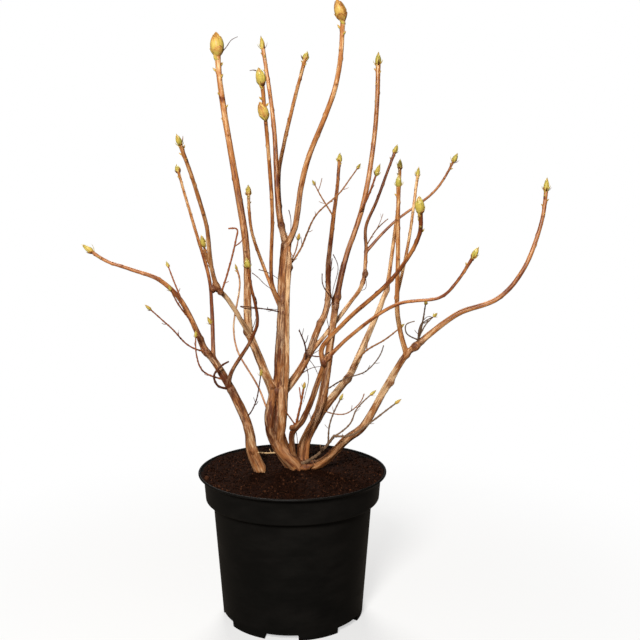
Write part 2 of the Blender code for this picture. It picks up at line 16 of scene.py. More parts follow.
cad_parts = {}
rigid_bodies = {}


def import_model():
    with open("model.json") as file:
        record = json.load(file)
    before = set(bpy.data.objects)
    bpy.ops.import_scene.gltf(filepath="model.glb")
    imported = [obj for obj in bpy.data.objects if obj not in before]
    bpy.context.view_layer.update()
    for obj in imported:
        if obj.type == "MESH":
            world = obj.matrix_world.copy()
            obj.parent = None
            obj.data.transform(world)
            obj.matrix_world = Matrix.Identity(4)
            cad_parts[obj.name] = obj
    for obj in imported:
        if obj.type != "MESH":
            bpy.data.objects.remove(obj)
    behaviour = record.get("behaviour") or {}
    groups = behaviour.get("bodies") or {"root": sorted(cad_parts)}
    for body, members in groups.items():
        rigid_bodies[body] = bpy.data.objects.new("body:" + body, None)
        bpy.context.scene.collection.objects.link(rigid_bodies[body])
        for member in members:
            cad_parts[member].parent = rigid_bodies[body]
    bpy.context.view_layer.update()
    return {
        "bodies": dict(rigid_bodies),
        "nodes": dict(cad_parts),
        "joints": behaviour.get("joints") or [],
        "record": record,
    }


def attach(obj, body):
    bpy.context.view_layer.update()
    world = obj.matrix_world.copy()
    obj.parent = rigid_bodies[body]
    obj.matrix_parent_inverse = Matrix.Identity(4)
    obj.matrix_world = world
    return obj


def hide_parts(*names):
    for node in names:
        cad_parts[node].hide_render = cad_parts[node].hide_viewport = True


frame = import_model()

MM = 0.001

# The camera stands where the photograph was taken from, as the pot's two ellipses tell.
CAMERA_PLACE = (27.8, -880, 421.7)
CAMERA_DIP = math.radians(7.79)
LENS = 50.34
SENSOR = 36

# Each light: its place, its width, its power in watts and its colour. They all face AIM.
LIGHTS = {
    "key": ((-260, -1350, 1000), 420, 31, (1, 0.985, 0.955)),
    "fill": ((900, -1100, 450), 800, 1.2, (1, 0.97, 0.93)),
    "back": ((-150, 1250, 1550), 700, 25, (1, 0.98, 0.95)),
}
AIM = (10, 0, 320)
SKY_LIGHT = 0.055
SKY_COLOUR = (1, 0.92, 0.82)
WHITE = (1, 1, 1)
FLOOR_RADII = (9000, 1200, 300)
FLOOR_UNSEEN = (0.15, 0.13, 0.11)  # the floor's colour in the light that it throws back
FLOOR_SEEN = (0.8, 0.8, 0.8)
FLOOR_STEPS = 64
FLOOR_GLOW = (0.07, 0.6, 0.55, 1)  # 0.07 m out its share of white is 0.55, and from 0.6 m out it is 1

# The pot, as the source has it.
POT_HEIGHT = 149
LIP_RADIUS = 95
LIP_DEPTH = 2.4
LIP_FOOT = 143.5  # where the collar begins to flare into the lip
COLLAR_TOP_RADIUS = 89.3
COLLAR_FOOT_RADIUS = 87.8
COLLAR_FOOT = 121
COLLAR_EDGE = 1.5
COLLAR_STEPS = 9
WALL_TOP_RADIUS = 80.5
WALL_FOOT_RADIUS = 71.5
WALL_THICKNESS = 1.6
WALL_STEPS = 30
FOOT_EDGE = 0.8
STEP_FOOT = COLLAR_FOOT + 1
STEP_TOP = COLLAR_FOOT + 3.2
FLOOR_THICKNESS = 7.6
POT_STEPS = 192
NOTCHES = 6
NOTCH_WIDTH = 33
NOTCH_HEIGHT = 6
NOTCH_ROUNDING = 1.1
NOTCH_INNER_RADIUS = 50
NOTCH_TURN = -7.5
DRAIN_RADIUS = 4
DRAIN_PLACE = 60
SHARP_ANGLE = math.radians(38)
COLLAR_INSIDE = COLLAR_FOOT_RADIUS - WALL_THICKNESS

# The peat.
PEAT_RADIUS = LIP_RADIUS - LIP_DEPTH
SOIL_LEVEL = 143
PEAT_MIDDLE = 144.2
PEAT_EDGE = 147
PEAT_LUMPS = ((26, 0.7), (9, 0.75), (4, 0.7), (2, 0.5), (1, 0.28))  # each size of lump and its height
SOIL_GAP = 0.2  # between the peat and the pot
STEM_FEET = ((5, 14, 3), (-29, 0, 1.7), (12, 22, 3), (4, 12, 3), (14, 10, 3))  # x, y and the heap there
HEAP_REACH = 17  # how far round a stem the peat is heaped against it
SOIL_RINGS = 118
SOIL_STEPS = 440
PEAT_SEED = 5
CRUMBS = 4200
CRUMB_MARGIN = 1.6
CRUMB_SIZES = (-0.42, 0.42)  # the mean and the spread of the natural logarithm of a radius
CRUMB_STRETCH = (0.55, 1.35)
CRUMB_ROUGHNESS = (0.78, 1.2)
CRUMB_RISE = 0.25
CRUMB_SHARES = (0.5, 0.38, 0.12)  # of the dark, the brown and the tan crumbs
FIBRES = 260
FIBRE_SIDES = 5
FIBRE_MARGIN = 6
FIBRE_HALVES = (1.5, 5)
FIBRE_BOWS = (-1.5, 1.5)
FIBRE_LIFTS = (0.1, 0.9)
FIBRE_WIDTHS = (0.25, 0.6)
FIBRE_SHARES = (0.2, 0.4, 0.4)

# The plant's rule, as the source has it.
FLARE = 0.3
FLARE_REACH = 9
SWELL_REACH = 20
PATH_STEP = 3
ROOT_LENGTH = 8  # how far a stem's axis runs on below the soil
TWIGLET_LENGTHS = (9, 18)
TWIGLET_THINNING = 0.75
TWIGLET_LEAN = math.radians(42)
TWIGLET_BEND = 0.2
TWIG_CLEARANCE = 1.5

# What the looks add to the limbs.
FINE_STEP = 1
TOE_HEIGHT = 149.5  # the middle of the round toe in which a stem ends in the peat
FOOT_SWELL = 0.22  # how much a bough thickens where it leaves its parent
FOOT_REACH = 5
TIP_SWELL = 0.16  # how much a shoot thickens under its bud
TIP_REACH = 7
TRUNK_WAIST = 2.6  # how far the trunk draws in behind its two lobes
WAIST_ALONG = 78
WAIST_REACH = 21
LOBE_FADE = 0.16  # the share of a lobe over which each of its ends sinks in
LOBE_END = 0.15  # the share of its thickness that is left there
KNOT_LENGTH = 0.85  # how far a knot runs along its limb, as a share of its radius
KNOT_SIZE = 0.84
KNOT_STEPS = 7
WANDER_LENGTHS = (34, 11)  # a shoot bends in long waves and kinks in short ones
WANDER_SHARES = (0.75, 0.25)
WANDER_ENDS = (18, 14)  # the straight stretches at a strand's foot and tip
KNOT_LOOK = (0.9, 0.9, -0.6, -0.6)  # the same four as in BARK
PLAIN_LOOK = (0.3, 0.3, 0, 0)
UPRIGHT = 0.8  # a strand whose foot climbs this steeply has its frame turned from the x axis
SLANT = (0.31, 0.17, 0.93)  # the direction that any other strand's is turned from

# Pairs for some(): a number is at least the first of a pair, and at most both together.
TWIGLET_FEET = (0.35, 0.5)  # how far up its stem a twiglet leaves it, as a share
NODE_CHANCE = (0.8, 0.4)  # what a node's spacing is multiplied by
JOINT_START = (3, 4)  # the first swelling on a twig, how far up it
JOINT_SPACING = (4, 5)
FINEST_START = (10, 8)  # the first place for a finest twig, how far up the one that bears it
FINEST_SPACING = (12, 12)
FINEST_LENGTH = (3, 5)
FINEST_LEAN = (35, 25)  # in degrees

# Nodes, where a leaf has been: they crowd under the tip and lie further apart down the shoot.
GOLDEN_TURN = math.radians(137.5)
NODE_SPACING = 4.5
NODE_GROWTH = 1.22
NODE_LIMIT = 24
NODE_LOWEST = 0.4  # of the shoot's length

# The fine twigs.
TWIG_FINENESS = 0.88  # a twig's real thickness, as a share of the source's
TWIG_FOOT = 0.4  # how much a twig thickens at its foot
TWIG_FOOT_REACH = 2
TWIG_WANDER = 0.45
TWIG_SIDES = 10
TWIG_ROUGHNESS = 0.1
JOINT_SWELL = 0.3
JOINT_REACH = 0.8
FINEST_SIDES = 6
FINEST_TAPER = (0.6, 0.35)  # a finest twig's foot and tip, as shares of the thickness of the twig's tip
FINEST_SHARE = 0.6  # of the places for a finest twig that have one
FINEST_BEND = 0.18
STOUT_SPRAYS = ("left_curl", "hooked_twig", "left_front_shoot", "front_riser", "low_right_spray")
STOUTNESS = 1.2
NEAT_SPRAYS = ("left_curl", "hooked_twig", "right_knot_spray", "dry_straw")  # these bear few fine twigs
THREAD_WIDTHS = (0.95, 0.6)
NODE_SEED, THREAD_SEED, TIP_SEED, SIDE_SEED, LONE_SEED = 100, 300, 500, 700, 900

# How the limbs join into one skin.
NEAR = 7  # a strand counts for places within this many mm of its box
FAR = 99.0  # stands for a distance that wasn't measured
CHUNK = 16000  # the places that are read at a time
DEEP = 1.7  # places further than this inside the surface are left as they are
SETTLE_STEPS = 3
SINK = 0.3  # how far a piece dips where the surface belongs to another piece
SIBLING_GAP = 3  # limbs whose feet lie this near each other blend
LIMB_BLEND = (0.9, 0.45)  # the width of a join, and how much of the thinner radius is added to it
SOFT_BLEND = 2.8
TUBE_SIDES = 20
CAP_SLOPES = [math.radians(slope) for slope in (15, 32, 50, 68, 82)]

# The fold between two strands, where shade is painted on the bark.
LIMB_FOLD_SHADE = 0.3  # how dark it is
LOBE_FOLD_SHADE = 1
SEAM_WIDTH = 0.9
SEAM_DEPTH = 0.35

# What is read for each place: how far it lies outside a strand, which way is out, how far along
# the strand it is, the cosine and sine of its turn round it, the radius there, and the strand.
APART, OUT, ALONG, COSINE, SINE, RADIUS, WHICH = 0, slice(1, 4), 4, 5, 6, 7, 8
READINGS = 9

# What the bark shows at each place, after its height, with the painted shade in its creases; then comes its
# place in the bark's flow.
LOOKS = ("age", "tone", "strip", "crease_shade", "scar", "calm")
CREASE_SHADE = 1 + LOOKS.index("crease_shade")
FLOW = slice(1 + len(LOOKS), 4 + len(LOOKS))

# The bark's relief: how wide and how long each kind of mark is.
GRAINS = {
    "wander": (2.4, 16), "lumps": (5.5, 13), "flutes": (3.6, 60), "fibres": (1.25, 15),
    "fine": (0.9, 7), "flakes": (2.6, 24), "chips": (1.2, 8), "grooves": (2.1, 30),
}
CALM_LEVELS = (156, 214)  # the bark is smooth at the first height and flakes above the second
PATCH_WANDER = 6
LUMP_SHARE = 0.055  # of the radius
FLUTE_SHARE = 0.08
FIBRE_HEIGHT = 0.16
STRIP_HEIGHT = 0.26
GROOVE_DEPTH = 0.22
OLD_DEPTH = 0.15
FINE_HEIGHTS = (0.03, 0.06)  # on young bark, and what old bark adds
WIDEST = 20  # the radius from which marks grow no wider

# A leaf scar: how high its lump and its ring stand, and the size of each along and across the
# shoot. The ring and the dark mark lie so much lower than the lump.
SCAR_REACH = 5
SCAR_LUMP = (0.45, 1.5, 1.3)
SCAR_RING = (0.05, 1.6)
SCAR_RING_DROP = 0.6
SCAR_MARK = (0.8, 1.1)
SCAR_MARK_DROP = 1.1

# Buds. For those wider than so many mm: the rows and columns of a scale, and the core's rings
# and sides. Then the number of narrow bracts at the foot.
BUD_GRIDS = ((7, 15, 13, 12, 14), (2.9, 9, 7, 10, 12), (0, 6, 5, 6, 8))
BRACTS = ((7, 6), (4.2, 5), (2.4, 3), (0, 0))
FAT = 7  # a bud wider than this is egg-shaped, and a slimmer one is drawn out
PLUMP = 8  # one wider than this has a pale foot and brown tips to its scales
BUD_FOOT = 0.12  # the share of a bud that sits below its base
Form = namedtuple("Form", "belly fullness bract spread thickness")
FAT_FORM = Form(0.86, 0.78, 0.24, 0.2, 0.12)  # how round it is, then how long and thick its bracts are
SLIM_FORM = Form(0.76, 1.1, 0.34, 0.6, 0.18)
FEWEST_SCALES = 4
MOST_SCALES = 18
SCALES_PER_MM = 1.9
BASAL = 0.14  # the lowest share of the scales, which have the foot's shade
SHORT = 0.3  # the lowest share of the scales, which are short
BASAL_SHADE = 6.6
PLUMP_BASAL_STEP = 0.8  # how far below its coat's darkest shade a plump bud's foot stays
BRACT_SHADES = (1, 2, 2, 3, 6, 7)
BRACT_SIDES = 8
BRACT_ROWS = 7
CORE_SHADE = 5

# The lightest and darkest shade of each coat's scales, as steps along BUD_COLOURS.
COATS = {"green": (1.0, 2.4), "lime": (1.4, 3.2), "gold": (1.8, 4.0), "amber": (2.8, 5.4)}

# Bark colours: at its middle tone, where it is pale and where it is dark.
YOUNG_BARK = ((0.49, 0.185, 0.05), (0.88, 0.57, 0.28), (0.17, 0.038, 0.009))
OLD_BARK = ((0.38, 0.15, 0.047), (0.84, 0.54, 0.29), (0.11, 0.028, 0.009))
STRIP_PALE = (0.86, 0.6, 0.36)
GRAIN_DARK = (0.2, 0.066, 0.02)
# The dark marks on it, which are the painted shade in its creases and in the folds between strands, and its
# leaf scars: how strong each is, and its colour.
MARKS = (("crease_shade", 0.85, (0.05, 0.013, 0.0045)), ("scar", 0.8, (0.1, 0.023, 0.008)))

TWIG_COLOURS = {
    "twig_brown": (0.38, 0.16, 0.055), "twig_red": (0.31, 0.095, 0.032),
    "twig_dark": (0.095, 0.032, 0.015), "twig_grey": (0.2, 0.12, 0.07),
    "twig_straw": (0.62, 0.42, 0.22),
}
BUD_COLOURS = {
    "bud_cream": (0.8, 0.68, 0.3), "bud_green": (0.43, 0.365, 0.07),
    "bud_lime": (0.55, 0.43, 0.08), "bud_yellow": (0.636, 0.473, 0.0946),
    "bud_gold": (0.636, 0.396, 0.0946), "bud_orange": (0.533, 0.267, 0.0602),
    "bud_rust": (0.361, 0.146, 0.0301), "bud_brown": (0.206, 0.0688, 0.0155),
    "bud_dark": (0.103, 0.0327, 0.0086),
}
CRUMB_COLOURS = {
    "crumb_dark": (0.0088, 0.003, 0.0015), "crumb_brown": (0.02, 0.0065, 0.003),
    "crumb_tan": (0.055, 0.02, 0.009),
}
POT_BLACK = (0.0042, 0.004, 0.0036)
POT_DUSTY = (0.0075, 0.0068, 0.006)
PEAT_DARK = (0.0078, 0.0027, 0.0013)
PEAT_BROWN = (0.0145, 0.0048, 0.0022)
PEAT_RED = (0.032, 0.0105, 0.0047)
# The last is painted shade, for the peat's hollows.
PEAT_HOLLOW_SHADE = (0.003, 0.0012, 0.0007)
TWIG_TINTS = list(TWIG_COLOURS)
BUD_TINTS = list(BUD_COLOURS)

Bud = namedtuple("Bud", "length width sides coat", defaults=("green",))
Swell = namedtuple("Swell", "along extra")
Limb = namedtuple("Limb", "name grows_from foot tip bud way swell", defaults=(None,))
Twig = namedtuple("Twig", "foot tip bud way")
Spray = namedtuple("Spray", "name grows_from twiglets seed twigs")

FAT_BUD = Bud(26, 12, 2)
ROUND_BUD = Bud(19, 9.5, 2)
SHOOT_BUD = Bud(14, 5.5, 2)
SLIM_BUD = Bud(13, 4.6, 1)
TWIG_BUD = Bud(8, 3, 0)

# How many buds sit on the side of a shoot that ends in each kind of bud.
SIDE_BUDS = {FAT_BUD: 7, ROUND_BUD: 3, SHOOT_BUD: 4, SLIM_BUD: 2, TWIG_BUD: 1}

LIMBS = (
    Limb("trunk", None, 16, 9.6, None,
         ((5, 14, 143), (-5, 13, 156), (-13, 12, 170), (-18, 10, 187), (-17, 8, 204),
          (-13, 5, 237), (-9, -1, 300), (-8, -6, 347), (-5, -8, 375)),
         Swell(58, 7)),
    Limb("left_stem", None, 12, 6.4, None,
         ((-31, 1, 143), (-41, 0, 168), (-43, -1, 187), (-50, -2, 208),
          (-75, -6, 258), (-86, -8, 272))),
    Limb("left_arch", "left_stem", 5.8, 2.9, SLIM_BUD,
         ((-86, -8, 272), (-99, -15, 307), (-110, -19, 327), (-128, -23, 344), (-154, -26, 354),
          (-176, -28, 362), (-188, -29, 370))),
    Limb("left_back", "left_stem", 4, 2.9, SLIM_BUD,
         ((-78, -6, 264), (-82, 20, 314), (-86, 36, 339), (-105, 74, 389),
          (-120, 106, 426), (-129, 126, 449))),
    Limb("left_loop", "left_stem", 4, 2.4, TWIG_BUD,
         ((-63, -4, 233), (-60, -15, 250), (-38, -38, 287), (-31, -48, 306),
          (-35, -68, 342), (-37, -76, 359))),
    Limb("tall_left", "trunk", 8.6, 5, FAT_BUD,
         ((-16, 6, 219), (-35, -5, 270), (-42, -9, 293), (-43, -17, 372), (-53, -24, 446),
          (-64, -30, 519), (-66.4, -32, 551.5))),
    Limb("left_front", "tall_left", 4.7, 3.1, SHOOT_BUD,
         ((-40, -8, 285), (-59, -36, 325), (-68, -49, 339), (-72, -64, 363), (-72, -86, 395),
          (-76, -106, 421), (-86, -138, 464))),
    Limb("thin_riser", "trunk", 2, 1.7, TWIG_BUD,
         ((-19, 9, 185), (-35, 30, 224), (-59, 46, 263), (-63, 52, 286),
          (-57, 64, 332), (-60, 66, 346))),
    Limb("fork_left", "trunk", 6, 3.5, SHOOT_BUD,
         ((-5, -8, 375), (-11, 4, 398), (-14, 10, 421), (-18, 26, 492), (-29, 43, 568))),
    Limb("fork_back", "fork_left", 4.2, 3.8, SHOOT_BUD,
         ((-11, 4, 398), (-14, 38, 444), (-10, 64, 475), (11, 140, 572.5))),
    Limb("fork_right", "trunk", 5.8, 4, ROUND_BUD,
         ((-5, -8, 375), (3, -15, 391), (10, -26, 432), (17, -34, 458),
          (42, -54, 522), (48, -64, 577))),
    Limb("inner_left", "trunk", 3.6, 3.3, ROUND_BUD,
         ((-9, -3, 318), (-18, -17, 337), (-16, -54, 412), (-21, -104, 516))),
    Limb("inner_short", "trunk", 3.8, 3, SLIM_BUD,
         ((-9, -1, 308), (-22, 14, 336), (-42, 48, 385), (-47.5, 72.5, 424))),
    Limb("back_bough", "trunk", 7.8, 3.5, SLIM_BUD,
         ((-14, 6, 221), (11, 22, 252), (25, 46, 284), (35, 66, 307),
          (37, 102, 352), (47, 152, 430), (50, 166, 462))),
    Limb("back_right", "back_bough", 4.9, 2.9, SLIM_BUD,
         ((14, 27, 258), (44, 52, 292), (60, 66, 311), (73, 80, 329), (78, 97, 365), (78, 106, 389),
          (91, 116, 420), (110, 128, 470))),
    Limb("far_right_back", "back_right", 3.2, 2.3, SLIM_BUD,
         ((78, 97, 363), (107, 98, 394), (151, 89, 429), (169, 84, 459))),
    Limb("rear_stem", "trunk", 11.4, 6.4, None,
         ((12, 22, 143), (10, 24, 164), (25, 28, 196), (30, 30, 213),
          (37, 38, 259), (44, 45, 313))),
    Limb("tall_right", "rear_stem", 5.8, 4.5, SHOOT_BUD,
         ((44, 45, 313), (54, 52, 357), (73, 60, 416), (85, 68, 491), (88, 74, 557))),
    Limb("mid_right", "rear_stem", 8.4, 5.5, None,
         ((24, 28, 194), (51, 42, 227), (58, 47, 235), (68, 55, 253), (101, 96, 321))),
    Limb("mid_riser", "mid_right", 4.4, 3.5, SLIM_BUD,
         ((101, 96, 321), (106, 112, 348), (117, 150, 413), (120, 168, 454))),
    Limb("front_stem", "trunk", 6, 4.8, None,
         ((3, 12, 150), (0, 2, 169), (0, -8, 188), (11, -20, 205), (32, -50, 268))),
    Limb("front_right", "front_stem", 4.2, 3.3, ROUND_BUD,
         ((32, -50, 268), (29, -53, 280), (49, -68, 307), (93, -110, 356),
          (110, -134, 391), (110, -142, 409))),
    Limb("front_far", "front_stem", 3.6, 2.6, SLIM_BUD,
         ((32, -50, 268), (55, -62, 294), (97, -84, 327), (134, -96, 335),
          (147, -100, 348), (160, -104, 370))),
    Limb("right_stem", "trunk", 9.6, 6, None,
         ((7, 12, 148), (28, 8, 152), (56, -2, 181), (70, -8, 194),
          (91, -20, 235), (111, -34, 273), (118, -37, 280))),
    Limb("right_arch", "right_stem", 5.7, 3.3, SHOOT_BUD,
         ((118, -37, 280), (157, -44, 313), (194, -47, 328), (218, -42, 354),
          (236, -34, 399), (240, -31, 427))),
    Limb("right_riser", "right_stem", 4.8, 3.5, SLIM_BUD,
         ((111, -34, 272), (101, -45, 312), (99, -62, 370), (97, -82, 431))),
    Limb("right_slender", "right_riser", 3, 2.7, SLIM_BUD,
         ((99, -50, 329), (110, -26, 368), (124, 14, 442))),
)

# The fine twigs, a spray to a node: the limb it grows from, how many seeded side twiglets it
# bears, its seed, and its twigs, the first of which is the stem that carries the others.
SPRAYS = (
    Spray("low_right_spray", "trunk", 2, 11, (
        Twig(3.2, 2.4, None, ((7, 8, 151), (17, -1, 158), (28, -12, 169), (42, -27, 191))),
        Twig(1.6, 1.2, TWIG_BUD, ((36, -21, 182), (38, -30, 205), (47, -38, 229))),
        Twig(1.7, 1.2, TWIG_BUD, ((40, -25, 188), (57, -22, 201), (64, -14, 214), (78, -8, 227))),
        Twig(2, 1.4, TWIG_BUD, ((41, -26, 190), (59, -38, 195), (78, -44, 210), (99, -50, 228))))),
    Spray("right_knot_spray", "right_arch", 1, 12, (
        Twig(2.2, 1.3, TWIG_BUD, ((122, -38, 283), (121, -42, 289), (122, -58, 303), (123, -78, 326))),
        Twig(1.5, 1.1, None, ((121, -41, 288), (108, -58, 297), (107, -66, 306), (114, -72, 310))),
        Twig(1.6, 1.2, TWIG_BUD, ((121, -41, 288), (128, -30, 299), (138, -18, 307))),
        Twig(1.5, 1.1, None, ((121, -41, 288), (126, -24, 300), (138, -8, 305))))),
    Spray("left_outer_twig", "left_stem", 1, 13, (
        Twig(1.9, 1.4, TWIG_BUD, ((-83, -8, 270), (-100, -24, 280), (-113, -38, 298), (-130, -52, 318))),)),
    Spray("left_pale_twig", "left_stem", 1, 14, (
        Twig(2, 1.4, TWIG_BUD, ((-67, -5, 242), (-87, -17, 253), (-92, -24, 270), (-92, -28, 288))),)),
    Spray("arch_back_twig", "left_arch", 0, 15, (
        Twig(1.9, 1.5, TWIG_BUD, ((-104, -17, 317), (-115, -2, 337), (-123, 10, 353))),)),
    Spray("arch_front_twig", "left_arch", 0, 16, (
        Twig(1.9, 1.5, TWIG_BUD, ((-97, -14, 301), (-106, -30, 318), (-112, -44, 335))),)),
    Spray("left_curl", "left_stem", 0, 17, (
        Twig(2.3, 1.7, None, ((-62, -4, 233), (-73, -15, 238), (-76, -18, 249), (-69, -17, 258),
                              (-62, -14, 262))),)),
    Spray("left_low_twig", "left_stem", 1, 18, (
        Twig(1.5, 1.2, TWIG_BUD, ((-47, -1, 201), (-37, -12, 218), (-30, -24, 250))),)),
    Spray("hooked_twig", "left_front", 1, 19, (
        Twig(1.8, 1.4, None, ((-65, -44, 333), (-56, -52, 359), (-48.6, -60, 385), (-47.3, -61, 391.5),
                              (-48.4, -61.6, 393.6), (-55.2, -64, 393.8))),)),
    Spray("left_front_shoot", "left_front", 0, 20, (
        Twig(2.6, 2.2, SLIM_BUD, ((-72, -60, 358), (-75, -68, 369), (-76.5, -73.5, 378))),)),
    Spray("dry_straw", "trunk", 0, 21, (
        Twig(1.9, 1.5, None, ((-9, 12, 163), (-27, 4, 164), (-34, -11, 169))),)),
    Spray("mid_climber", "trunk", 1, 22, (
        Twig(2.2, 1.5, TWIG_BUD, ((-7, -6, 350), (8, 8, 370), (23, 28, 403), (49, 46, 428), (66, 58, 451))),
        Twig(1.6, 1.3, TWIG_BUD, ((-3, -3, 356), (4, -14, 370), (7, -22, 382))))),
    Spray("back_side_twig", "back_bough", 1, 23, (
        Twig(2, 1.5, TWIG_BUD, ((42, 135, 402), (31, 142, 420), (22, 152, 436))),)),
    Spray("tall_side_shoot", "tall_right", 0, 24, (
        Twig(2.6, 2.2, SLIM_BUD, ((69, 59, 405), (77, 40, 424), (84, 30, 444))),)),
    Spray("back_fine_twig", "back_right", 1, 25, (
        Twig(1.6, 1.2, None, ((78, 99, 369), (90, 116, 386), (104, 130, 398))),)),
    Spray("front_riser", "front_stem", 1, 26, (
        Twig(2.5, 1.8, TWIG_BUD, ((3, -12, 193), (8, -24, 218), (12, -32, 239))),
        Twig(1.5, 1.1, None, ((4, -14, 197), (-2, -22, 208), (-6, -28, 216))))),
    Spray("back_knot_twigs", "back_bough", 1, 27, (
        Twig(2, 1.3, None, ((13, 24, 255), (13, 10, 274), (7, 0, 291))),
        Twig(1.6, 1.2, None, ((13, 17, 264), (27, 14, 262), (37, 6, 268))))),
    Spray("mid_right_spray", "mid_right", 1, 28, (
        Twig(2.3, 1.6, TWIG_BUD, ((63, 50, 243), (74, 34, 263), (94, 22, 278), (108, 14, 291))),)),
    Spray("rear_low_spray", "rear_stem", 1, 29, (
        Twig(1.7, 1.2, None, ((32, 32, 222), (53, 14, 239), (74, 4, 249), (87, 0, 265), (91, -2, 276))),)),
    Spray("rear_fine_twig", "mid_right", 1, 30, (
        Twig(1.5, 1.1, None, ((30, 31, 202), (53, 12, 203), (68, 2, 217), (72, -2, 227))),)),
    Spray("trunk_fine_twig", "trunk", 1, 31, (
        Twig(1.5, 1.1, None, ((-9, -2, 309), (-28, -20, 315), (-48, -32, 319))),)),
    Spray("rear_knot_twigs", "rear_stem", 1, 32, (
        Twig(1.6, 1.1, None, ((43, 44, 308), (38, 30, 330), (40, 20, 361))),
        Twig(1.4, 1.1, None, ((41, 37, 318), (31, 30, 333), (30, 30, 345))))),
)

# Lobes: stems that have grown together with their parent, and show as ridges on it.
LOBES = (
    Limb("trunk_left_lobe", "trunk", 6.5, 6.5, None,
         ((-17.5, 4, 242), (-20.5, 1, 222), (-22.8, -0.5, 208), (-23, 0, 195), (-20, 5, 180),
          (-14, 11, 164)),
         Swell(40, 3.8)),
    Limb("trunk_right_lobe", "trunk", 7, 7.5, None,
         ((-11.3, 4, 242), (-10.5, -0.5, 222), (-10.2, -1.5, 208), (-10.6, -1, 194), (-12.5, 4, 179),
          (-10, 11, 164)),
         Swell(54, 1)),
    Limb("trunk_heel", "trunk", 12, 15, None,
         ((-15.5, 9, 186), (-12.5, 6.5, 169), (-5, 6, 159), (2, 7, 151), (6, 8, 142), (8, 9, 130))),
    Limb("trunk_strand", "trunk", 4.6, 5.2, None,
         ((-10, 5, 178), (-7.6, 2, 200), (-6.6, 0, 224), (-5.6, -1, 241), (-4.8, -3.5, 272),
          (-4.8, -6, 302), (-4.2, -8.5, 322), (-3, -10.5, 345), (-1.8, -11, 362), (-3, -10, 378),
          (-4.5, -7, 388))),
    Limb("left_lobe", "left_stem", 6.4, 6.8, None,
         ((-48, -3, 202), (-43, -5, 187), (-39, -4, 171), (-34, -3, 157), (-27, -2, 140))),
    Limb("rear_lobe", "rear_stem", 5.6, 6, None,
         ((32, 27, 214), (25, 22, 196), (15, 18, 170), (14, 18, 140))),
    Limb("right_lobe", "right_stem", 5, 5.6, None,
         ((66, -9, 193), (52, -5, 178), (28, 4, 153), (14, 10, 147))),
)

# Knots: where a side branch was lost or several leave together, with a radius each.
KNOTS = (
    ((-10, 1, 395), 3.9), ((-69, -50, 339), 4.3), ((-72.4, -51, 337), 3.2), ((-65, -49, 334), 3.1),
    ((-0.6, -8, 354), 2.6), ((15, 27, 261), 4.4), ((31, -51, 268), 3.7), ((36, -53, 272), 2.3),
    ((46, 46, 319), 4.5), ((44, 43, 310), 4.3), ((57, 44, 233), 4.8), ((77, 84, 340), 3.6),
    ((74, 82, 331), 2.6), ((101, 96, 323), 3.5), ((119, -38, 281), 4.3), ((124, -40, 286), 3.0),
    ((-9, -6, 322), 4.2), ((-7, -5, 310), 3.4), ((-84, -9, 270), 3.9), ((-44, -9, 291), 4.6),
    ((-15, 3, 229), 5.6), ((-13, 15, 413), 2.7), ((97, -24, 243), 3.6), ((-61, -5, 232), 4.0),
    ((12, 3, 149), 4.2), ((17, 4, 151), 3.2), ((-40.2, -5.6, 169), 2.6), ((-20, -1, 234), 2.1),
    ((27, 52, 291), 3.2), ((63, 48, 244), 2.6), ((-89, -11, 284), 3.0), ((0, -15, 196), 3.0),
)

# How old the bark is and how pale, at the foot and at the tip of each limb.
BARK = {
    "trunk": (1, 0.8, -0.75, -0.45), "left_stem": (1, 0.75, -0.35, -0.6),
    "left_arch": (0.5, 0.1, -0.7, -0.3), "left_back": (0.4, 0.15, -1.1, 0.3),
    "left_loop": (0.5, 0.2, -1.1, -0.7), "tall_left": (0.85, 0.05, -0.15, 0.2),
    "left_front": (0.75, 0.1, 0.7, -0.15), "thin_riser": (0.4, 0.2, -0.1, 0.3),
    "fork_left": (0.7, 0.05, -0.25, 0), "fork_back": (0.5, 0.05, -0.2, 0.1),
    "fork_right": (0.6, 0.05, -0.3, 0.15), "inner_left": (0.35, 0.05, -0.35, -0.1),
    "inner_short": (0.3, 0.05, -0.2, 0.2), "back_bough": (0.9, 0.15, -0.15, -0.6),
    "back_right": (0.75, 0.05, 0.7, -0.85), "far_right_back": (0.3, 0.1, -0.6, -0.4),
    "rear_stem": (1, 0.8, -0.6, 0.2), "tall_right": (0.6, 0.05, -0.3, 0.05),
    "mid_right": (1, 0.55, -0.3, 1.2), "mid_riser": (0.4, 0.05, 0.05, 0.2),
    "front_stem": (0.8, 0.5, -0.7, -0.6), "front_right": (0.4, 0.05, -0.45, -0.45),
    "front_far": (0.35, 0.05, -0.35, -0.75), "right_stem": (1, 0.55, -0.5, -0.1),
    "right_arch": (0.4, 0.05, -0.15, -0.15), "right_riser": (0.4, 0.05, 0, 0.1),
    "right_slender": (0.25, 0.05, 0.5, 0.5), "trunk_left_lobe": (0.95, 0.95, -0.6, -0.3),
    "trunk_right_lobe": (0.9, 0.9, 0.1, -0.2), "trunk_strand": (0.75, 0.6, 0.45, 0.8),
    "trunk_heel": (0.8, 0.8, -0.5, -0.4),
    "left_lobe": (1, 1, 0.35, 0), "rear_lobe": (1, 1, -0.5, -0.4), "right_lobe": (1, 1, 0.1, -0.1),
}

